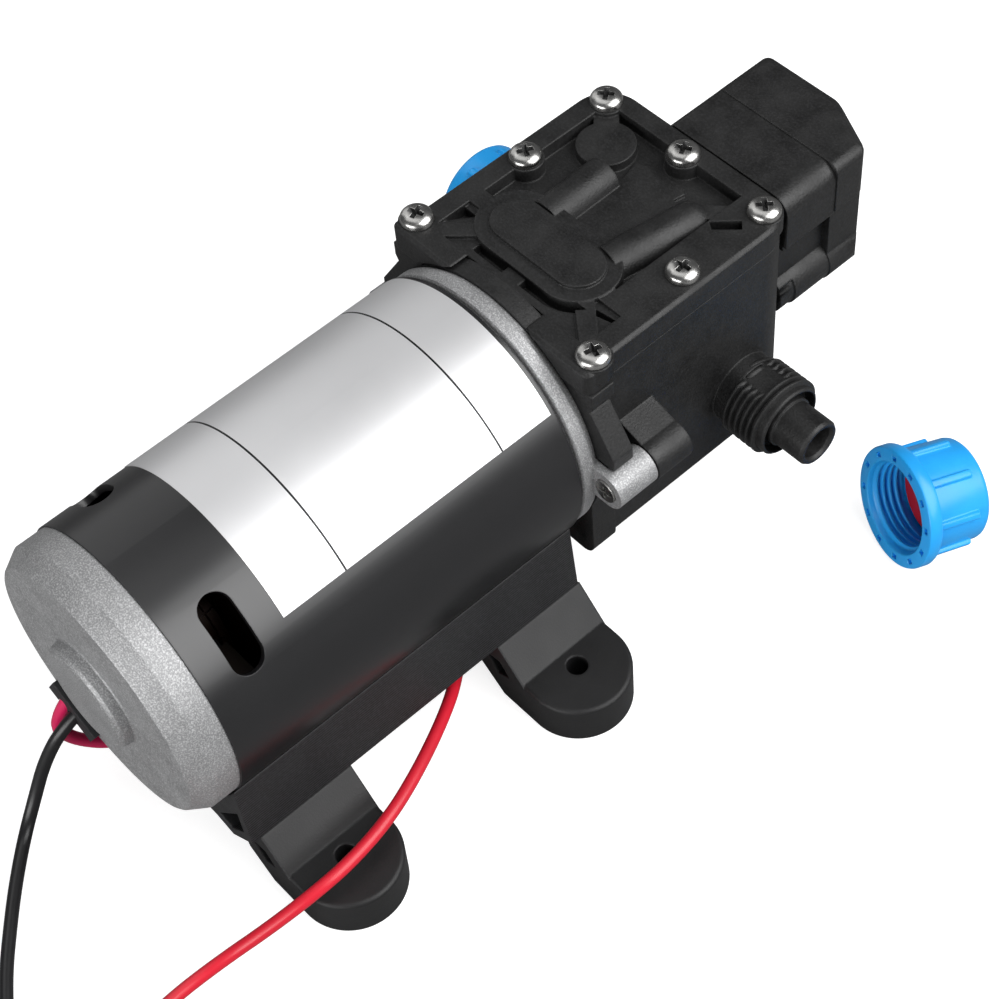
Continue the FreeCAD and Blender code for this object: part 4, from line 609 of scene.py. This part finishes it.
def lathe(name, profile, segments):
    """Closed solid of revolution about the X axis from (along, radius) points."""
    points = []
    rings = []
    for along, radius in profile:
        on_axis = radius < 1e-7
        ring = []
        for number in range(1 if on_axis else segments):
            angle = 2 * math.pi * number / segments
            ring.append(len(points))
            points.append((along, radius * math.cos(angle), radius * math.sin(angle)))
        rings.append(ring)
    faces = []
    for one, two in zip(rings, rings[1:] + rings[:1]):
        if len(one) > 1 or len(two) > 1:
            faces += side_faces(one, two, segments)
    piece = mesh_object(name, points, faces)
    outward(piece)
    return piece


def helix_ridge(name, start, turns, root, crest, root_width, crest_width):
    """Thread ridge about the X axis; it runs out at both ends."""
    count = int(turns * THREAD_SEGMENTS)
    points = []
    faces = []
    for number in range(count + 1):
        turn = number / THREAD_SEGMENTS
        fade_in = turn / THREAD_FADE_TURNS
        fade_out = (turns - turn) / THREAD_FADE_TURNS
        share = max(THREAD_LEAST_HEIGHT, min(1.0, fade_in, fade_out))
        middle = start + turn * THREAD_PITCH
        top = root + (crest - root) * share
        foot = root - (crest - root) * THREAD_BURIED
        angle = 2 * math.pi * turn
        section = [
            (middle - root_width / 2, foot),
            (middle - crest_width / 2, top),
            (middle + crest_width / 2, top),
            (middle + root_width / 2, foot),
        ]
        for along, radius in section:
            points.append((along, radius * math.sin(angle), radius * math.cos(angle)))
    for number in range(count):
        for corner in range(4):
            after = (corner + 1) % 4
            base = number * 4
            faces.append((base + corner, base + after, base + 4 + after, base + 4 + corner))
    faces.append((0, 1, 2, 3))
    last = count * 4
    faces.append((last + 3, last + 2, last + 1, last))
    piece = mesh_object(name, points, faces, True, THREAD_SHARP_DEG)
    outward(piece)
    return piece


def apply_modifiers(piece):
    bpy.context.view_layer.update()
    graph = bpy.context.evaluated_depsgraph_get()
    data = bpy.data.meshes.new_from_object(piece.evaluated_get(graph))
    old = piece.data
    piece.modifiers.clear()
    piece.data = data
    bpy.data.meshes.remove(old)


def boolean(piece, cutters, operation="DIFFERENCE"):
    """Apply one or more cutters to a piece and remove them."""
    for cutter in cutters:
        modifier = piece.modifiers.new("cut", "BOOLEAN")
        modifier.operation = operation
        modifier.solver = "EXACT"
        modifier.object = cutter
    apply_modifiers(piece)
    for cutter in cutters:
        bpy.data.objects.remove(cutter)


def rounded(piece, width, segments, angle_deg):
    """Round the edges sharper than an angle."""
    modifier = piece.modifiers.new("round", "BEVEL")
    modifier.width = width
    modifier.segments = segments
    modifier.limit_method = "ANGLE"
    modifier.angle_limit = math.radians(angle_deg)
    apply_modifiers(piece)


def block(name, low, high):
    """Box between two corners."""
    x0, y0, z0 = low
    x1, y1, z1 = high
    points = [(x, y, z) for x in (x0, x1) for y in (y0, y1) for z in (z0, z1)]
    faces = [(0, 1, 3, 2), (4, 6, 7, 5), (0, 4, 5, 1), (2, 3, 7, 6), (0, 2, 6, 4), (1, 5, 7, 3)]
    piece = mesh_object(name, points, faces, False)
    outward(piece)
    return piece


def prism(name, outline, low, high, upright):
    """Prism over an outline in mm, in plan (upright) or in the XZ plane, between two levels."""
    points = []
    for level in (low, high):
        points += [(a, b, level) if upright else (a, level, b) for a, b in outline]
    count = len(outline)
    faces = [tuple(range(count)), tuple(range(count, 2 * count))]
    for number in range(count):
        after = (number + 1) % count
        faces.append((number, after, count + after, count + number))
    piece = mesh_object(name, [Vector(p) * MM for p in points], faces, False)
    outward(piece)
    return piece


def copied(name, node):
    """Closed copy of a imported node's mesh."""
    data = nodes[node].data.copy()
    mesh = bmesh.new()
    mesh.from_mesh(data)
    bmesh.ops.remove_doubles(mesh, verts=mesh.verts, dist=WELD_GAP)
    mesh.to_mesh(data)
    mesh.free()
    return linked(name, data)


def joined(name, pieces):
    """One mesh object from several, each at its own place."""
    bpy.context.view_layer.update()
    mesh = bmesh.new()
    for piece in pieces:
        start = len(mesh.verts)
        mesh.from_mesh(piece.data)
        mesh.verts.ensure_lookup_table()
        bmesh.ops.transform(mesh, matrix=piece.matrix_world, verts=mesh.verts[start:])
    data = bpy.data.meshes.new(name)
    mesh.to_mesh(data)
    mesh.free()
    for piece in pieces:
        bpy.data.objects.remove(piece)
    return linked(name, data)


def finish_piece(piece, body, slot, sharp_deg, even=False):
    """Material, ride and slot of a new piece, with its place baked into the mesh."""
    bpy.context.view_layer.update()
    piece.data.transform(piece.matrix_world)
    piece.matrix_world = Matrix.Identity(4)
    piece.data.materials.clear()
    piece.data.materials.append(finishes[slot])
    smooth(piece.data, sharp_deg)
    if even:
        modifier = piece.modifiers.new("even", "WEIGHTED_NORMAL")
        modifier.keep_sharp = True
        apply_modifiers(piece)
    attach(piece, body)


# Leads
def round_curve(name, radius, resolution, finish):
    data = bpy.data.curves.new(name, "CURVE")
    data.dimensions = "3D"
    data.bevel_depth = radius
    data.bevel_resolution = resolution
    data.use_fill_caps = True
    data.materials.append(finishes[finish])
    return data


def add_spline(data, places):
    spline = data.splines.new("NURBS")
    spline.points.add(len(places) - 1)
    for point, place in zip(spline.points, places):
        point.co = (*place, 1)
    spline.order_u = 3
    spline.use_endpoint_u = True


def lead(name, route, finish, node):
    data = round_curve(name, LEAD_RADIUS, 5, finish)
    data.resolution_u = 10
    add_spline(data, [Vector(place) * MM for place in route])
    piece = linked(name, data)
    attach(piece, "housing")
    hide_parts(node)


def strands(name, route):
    """Twisted copper strands at the stripped end of a lead."""
    data = round_curve(name, STRAND_RADIUS, 2, "copper")
    end = Vector(route[-1]) * MM
    along = (end - Vector(route[-2]) * MM).normalized()
    side = along.cross(Vector((0, 0, 1))).normalized()
    up = side.cross(along)
    last = STRAND_STEPS - 1
    for number in range(STRANDS):
        reach = STRAND_REACH if number else 0.0
        length = STRAND_LENGTH - STRAND_STAGGER * (number % 3)
        places = []
        for step in range(STRAND_STEPS):
            angle = 2 * math.pi * (number / (STRANDS - 1) + STRAND_TWIST * step / last)
            out = side * (reach * math.cos(angle)) + up * (reach * math.sin(angle))
            places.append(end + along * ((-STRAND_TUCK + length * step / last) * MM) + out)
        add_spline(data, places)
    piece = linked(name, data)
    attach(piece, "housing")
    return piece


def make_leads():
    black_end = strands("black_lead_strands", BLACK_ROUTE)
    red_end = strands("red_lead_strands", RED_ROUTE)
    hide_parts("stripped_ends")
    black, red = "black_sleeve", "red_sleeve"
    lead("black_lead_cord", BLACK_ROUTE, black, "black_lead")
    lead("red_lead_cord", RED_ROUTE, red, "red_lead")
    lead("jumper_lead_cord", JUMPER_ROUTE, "pink_sleeve", "jumper_lead")


# Ports
def port_thread(name, side):
    ridge = helix_ridge(
        name, THREAD_START + THREAD_PITCH * THREAD_LEAD_IN, THREAD_TURNS - THREAD_LEAD_IN,
        THREAD_ROOT, THREAD_CREST, THREAD_ROOT_WIDTH, THREAD_CREST_WIDTH,
    )
    flat_start, flat_end, level = PORT_FLAT
    for vertex in ridge.data.vertices:
        if flat_start < vertex.co.x < flat_end and vertex.co.z > level:
            vertex.co.z = level - PORT_FLAT_DROP
    if side < 0:
        ridge.data.transform(Matrix.Rotation(math.pi, 4, "Z"))
    ridge.location = (0, PORT_Y, PORT_Z)
    finish_piece(ridge, "housing", "black_plastic", PORT_SHARP_DEG)


# Screw caps
def cap_shell(name):
    """Body of a cap with its flange, edges rounded by short steps, and its inner shoulder."""
    inside = CAP_LENGTH - CAP_END
    shoulder = WASHER_FROM_MOUTH + WASHER_THICKNESS
    profile = [
        (0.0, CAP_THREAD_ROOT + 0.5 * MM),
        (0.0, CAP_FLANGE_RADIUS - 0.7 * MM),
        (0.2 * MM, CAP_FLANGE_RADIUS - 0.2 * MM),
        (0.7 * MM, CAP_FLANGE_RADIUS),
        (CAP_FLANGE_LENGTH - 0.9 * MM, CAP_FLANGE_RADIUS),
        (CAP_FLANGE_LENGTH - 0.3 * MM, CAP_FLANGE_RADIUS - 0.3 * MM),
        (CAP_FLANGE_LENGTH, CAP_FLANGE_RADIUS - 0.9 * MM),
        (CAP_FLANGE_LENGTH + 0.1 * MM, CAP_RADIUS + 0.5 * MM),
        (CAP_FLANGE_LENGTH + 0.5 * MM, CAP_RADIUS + 0.05 * MM),
        (CAP_LENGTH - 1.3 * MM, CAP_RADIUS - 0.25 * MM),
        (CAP_LENGTH - 0.7 * MM, CAP_RADIUS - 0.42 * MM),
        (CAP_LENGTH - 0.2 * MM, CAP_RADIUS - 0.85 * MM),
        (CAP_LENGTH, CAP_RADIUS - 1.45 * MM),
        (CAP_LENGTH, 0.0),
        (inside, 0.0),
        (inside, CAP_BORE_RADIUS),
        (shoulder, CAP_BORE_RADIUS),
        (shoulder, CAP_THREAD_ROOT),
        (1.0 * MM, CAP_THREAD_ROOT),
    ]
    return lathe(name, profile, CAP_SEGMENTS)


def cap_rib(number):
    """Grip rib, narrower at its top and sloped at its end."""
    rib = block(
        "rib",
        (CAP_FLANGE_LENGTH - 1.0 * MM, -RIB_HALF_WIDTH, CAP_RADIUS - RIB_BURIED),
        (CAP_LENGTH - RIB_FROM_END, RIB_HALF_WIDTH, CAP_RADIUS + RIB_HEIGHT),
    )
    for vertex in rib.data.vertices:
        if vertex.co.z > CAP_RADIUS:
            vertex.co.y *= RIB_TOP_SHARE
            if vertex.co.x > CAP_LENGTH / 2:
                vertex.co.x -= RIB_TOP_SLOPE
    rounded(rib, RIB_ROUND, 3, 40)
    rib.rotation_euler = (2 * math.pi * (number + 0.5) / CAP_RIBS, 0, 0)
    return rib


def cap_mesh(name):
    """Ribbed cap, open end at the origin, closed end along +X, with its inner thread."""
    cap = cap_shell(name)
    pockets = []
    for number in range(CAP_POCKETS):
        pocket = block("pocket", POCKET_LOW, POCKET_HIGH)
        pocket.rotation_euler = (2 * math.pi * (number + 0.25) / CAP_POCKETS, 0, 0)
        pockets.append(pocket)
    boolean(cap, pockets)
    ribs = [cap_rib(number) for number in range(CAP_RIBS)]
    ridge = helix_ridge(
        "ridge", CAP_THREAD_START, CAP_THREAD_TURNS, CAP_THREAD_ROOT, CAP_THREAD_CREST,
        CAP_THREAD_ROOT_WIDTH, THREAD_CREST_WIDTH,
    )
    return joined(name, [cap, ridge] + ribs)


def make_caps():
    inlet = cap_mesh("inlet_cap_dressed")
    place = Matrix.Translation((CAP_LENGTH - INLET_CAP_END, PORT_Y, PORT_Z))
    inlet.matrix_world = place @ Matrix.Rotation(math.pi, 4, "Z")
    finish_piece(inlet, "cap_on_inlet", "blue_plastic", CAP_SHARP_DEG)
    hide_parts("inlet_cap")
    loose = cap_mesh("outlet_cap_dressed")
    loose.matrix_world = loose_cap_place()
    finish_piece(loose, "housing", "blue_plastic", CAP_SHARP_DEG)
    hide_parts("outlet_cap")


def loose_cap_place():
    """The loose cap lies on its flange and on two of its ribs."""
    pivot = CAP_FLANGE_LENGTH - 0.6 * MM
    touch = CAP_LENGTH - RIB_FROM_END
    half_step = math.pi / CAP_RIBS
    rest = (CAP_RADIUS + RIB_HEIGHT) * math.cos(half_step) + RIB_HALF_WIDTH * math.sin(half_step)
    tilt = math.atan((CAP_FLANGE_RADIUS - rest) / (touch - pivot))
    height = CAP_FLANGE_RADIUS * math.cos(tilt) + pivot * math.sin(tilt)
    turn = Matrix.Rotation(math.radians(LOOSE_CAP_TURN), 4, "Z") @ Matrix.Rotation(tilt, 4, "Y")
    return Matrix.Translation((*LOOSE_CAP_PLACE, height)) @ turn


# Pressure switch
def make_switch_housing():
    """Packed housing with the tube beside its lower box laid free and its shoulder rounded."""
    low, high = (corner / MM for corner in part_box("switch_housing"))
    front, back = low.y - CUT_MARGIN, high.y + CUT_MARGIN
    x, z, radius = SWITCH_TUBE
    web, top = SWITCH_ROOM
    side = high.x + CUT_MARGIN
    room = prism("tube_room", [(web, z), (side, z), (side, top), (web, top)], front, back, False)
    ends = (low.y - 2 * CUT_MARGIN, high.y + 2 * CUT_MARGIN)
    tube = lathe("tube", [(ends[0], 0), (ends[0], radius), (ends[1], radius), (ends[1], 0)], TUBE_SEGMENTS)
    tube.data.transform(Matrix.Rotation(math.pi / 2, 4, "Z"))
    tube.data.transform(Matrix.Translation((x, 0, z)))
    tube.data.transform(Matrix.Scale(MM, 4))
    boolean(room, [tube])
    housing = copied("switch_housing_dressed", "switch_housing")
    boolean(housing, [room])
    left, under = low.x - CUT_MARGIN, low.z - CUT_MARGIN
    outline = [(left, high.z), (left, under), (high.x, under)]
    for step in range(SHOULDER_STEPS + 1):
        angle = math.radians(90 * step / SHOULDER_STEPS)
        outline.append((
            high.x - SWITCH_SHOULDER + SWITCH_SHOULDER * math.cos(angle),
            high.z - SWITCH_SHOULDER + SWITCH_SHOULDER * math.sin(angle),
        ))
    boolean(housing, [prism("shoulder", outline, front, back, False)], "INTERSECT")
    finish_piece(housing, "housing", "black_plastic", SWITCH_SHARP_DEG, True)
    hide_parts("switch_housing")


def make_switch_cap():
    """Packed cap with its outer corners chamfered and rounded."""
    low, high = (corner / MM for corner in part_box("switch_cap"))
    start = low.y - SWITCH_CAP_OVERLAP
    plan = [
        (low.x, start), (high.x, start), (high.x, high.y - SWITCH_CHAMFER[1]),
        (high.x - SWITCH_CHAMFER[0], high.y), (low.x, high.y),
    ]
    envelope = prism("cap_envelope", plan, low.z, high.z, True)
    rounded(envelope, SWITCH_CAP_ROUND * MM, 4, 20)
    cap = copied("switch_cap_dressed", "switch_cap")
    boolean(cap, [envelope], "INTERSECT")
    finish_piece(cap, "housing", "black_plastic", SWITCH_SHARP_DEG, True)
    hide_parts("switch_cap")


# Rear end cap
def make_rear_cap():
    profile = [(along * MM, radius * MM) for along, radius in REAR_CAP_PROFILE]
    cap = lathe("rear_end_cap_dressed", profile, REAR_CAP_SEGMENTS)
    cap.data.transform(Matrix.Rotation(math.pi / 2, 4, "Z"))
    half, rear, front, inner, outer = (value * MM for value in GROMMET_ROOM)
    room = block("grommet_room", (-half, rear, inner), (half, front, outer))
    room.data.transform(Matrix.Rotation(math.radians(GROMMET_ANGLE), 4, "Y"))
    boolean(cap, [room])
    cap.data.transform(Matrix.Translation((0, 0, AXIS_Z)))
    finish_piece(cap, "housing", "cast_alloy", REAR_CAP_SHARP_DEG, True)
    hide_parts("rear_end_cap")


# Cover screws
def recess_arm(number):
    """Tapered slot; two of them crossed make the recess."""
    points = []
    mouth_z = SCREW_HEIGHT + 0.3 * MM
    foot_z = SCREW_HEIGHT - RECESS_DEPTH
    for (a, b), z in ((RECESS_MOUTH, mouth_z), (RECESS_FOOT, foot_z)):
        points += [(-a, -b, z), (a, -b, z), (a, b, z), (-a, b, z)]
    faces = [(0, 1, 2, 3), (7, 6, 5, 4), (0, 4, 5, 1), (1, 5, 6, 2), (2, 6, 7, 3), (3, 7, 4, 0)]
    arm = mesh_object("arm", points, faces, False)
    outward(arm)
    arm.rotation_euler = (0, 0, number * math.pi / 2)
    return arm


def screw_head(name):
    """Pan head with a cross recess, seat at the origin, facing +Z."""
    profile = [
        (-SCREW_SHANK_DEPTH, 0.0),
        (-SCREW_SHANK_DEPTH, SCREW_SHANK_RADIUS),
        (0.0, SCREW_SHANK_RADIUS),
        (0.0, SCREW_RADIUS - 0.15 * MM),
        (0.2 * MM, SCREW_RADIUS),
    ]
    for step in range(1, SCREW_DOME_STEPS + 1):
        angle = math.radians(90 * step / SCREW_DOME_STEPS)
        along = SCREW_RIM + (SCREW_HEIGHT - SCREW_RIM) * math.sin(angle)
        profile.append((along, SCREW_RADIUS * (SCREW_TOP_SHARE + (1 - SCREW_TOP_SHARE) * math.cos(angle))))
    profile.append((SCREW_HEIGHT, 0.0))
    head = lathe(name, profile, SCREW_SEGMENTS)
    head.data.transform(Matrix.Rotation(-math.pi / 2, 4, "Y"))
    boolean(head, [recess_arm(0), recess_arm(1)])
    return head


def head_middles(mesh, top):
    """Middle of the top of each packed head."""
    groups = []
    for vertex in mesh.vertices:
        if vertex.co.z > top - 0.01 * MM:
            spot = vertex.co.xy.copy()
            for group in groups:
                if (group[0] - spot).length < SCREW_SPACING:
                    group.append(spot)
                    break
            else:
                groups.append([spot])
    middles = []
    for group in groups:
        xs = [spot.x for spot in group]
        ys = [spot.y for spot in group]
        middles.append(Vector((min(xs) + max(xs), min(ys) + max(ys))) / 2)
    return middles


def paint_recess_shade(piece, middles, top):
    """Painted shade: a darker finish on the walls and the bottom of each recess."""
    piece.data.materials.append(finishes["screw_recess_shade"])
    bottom = top - RECESS_DEPTH
    for face in piece.data.polygons:
        near = min((face.center.xy - middle).length for middle in middles) < RECESS_REACH
        on_wall = face.normal.z < 0.6 and face.center.z > bottom
        at_bottom = face.normal.z > 0.9 and bottom - 0.1 * MM < face.center.z < top - 0.5 * RECESS_DEPTH
        if near and (on_wall or at_bottom):
            face.material_index = 1


def make_cover_screws():
    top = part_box("cover_screws")[1].z
    seat = top - SCREW_HEIGHT
    middles = head_middles(nodes["cover_screws"].data, top)
    heads = []
    for number, middle in enumerate(middles):
        head = screw_head("head")
        turn = Matrix.Rotation(math.radians(SCREW_TURNS[number % len(SCREW_TURNS)]), 4, "Z")
        head.matrix_world = Matrix.Translation((middle.x, middle.y, seat)) @ turn
        heads.append(head)
    whole = joined("cover_screws_dressed", heads)
    finish_piece(whole, "housing", "screw_steel", SCREW_SHARP_DEG)
    paint_recess_shade(whole, middles, top)
    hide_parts("cover_screws")


make_camera()
make_light()
finishes = make_materials()
make_leads()
make_floor()
dress_frame()
port_thread("outlet_port_thread", 1)
port_thread("inlet_port_thread", -1)
make_caps()
make_switch_housing()
make_switch_cap()
make_rear_cap()
make_cover_screws()
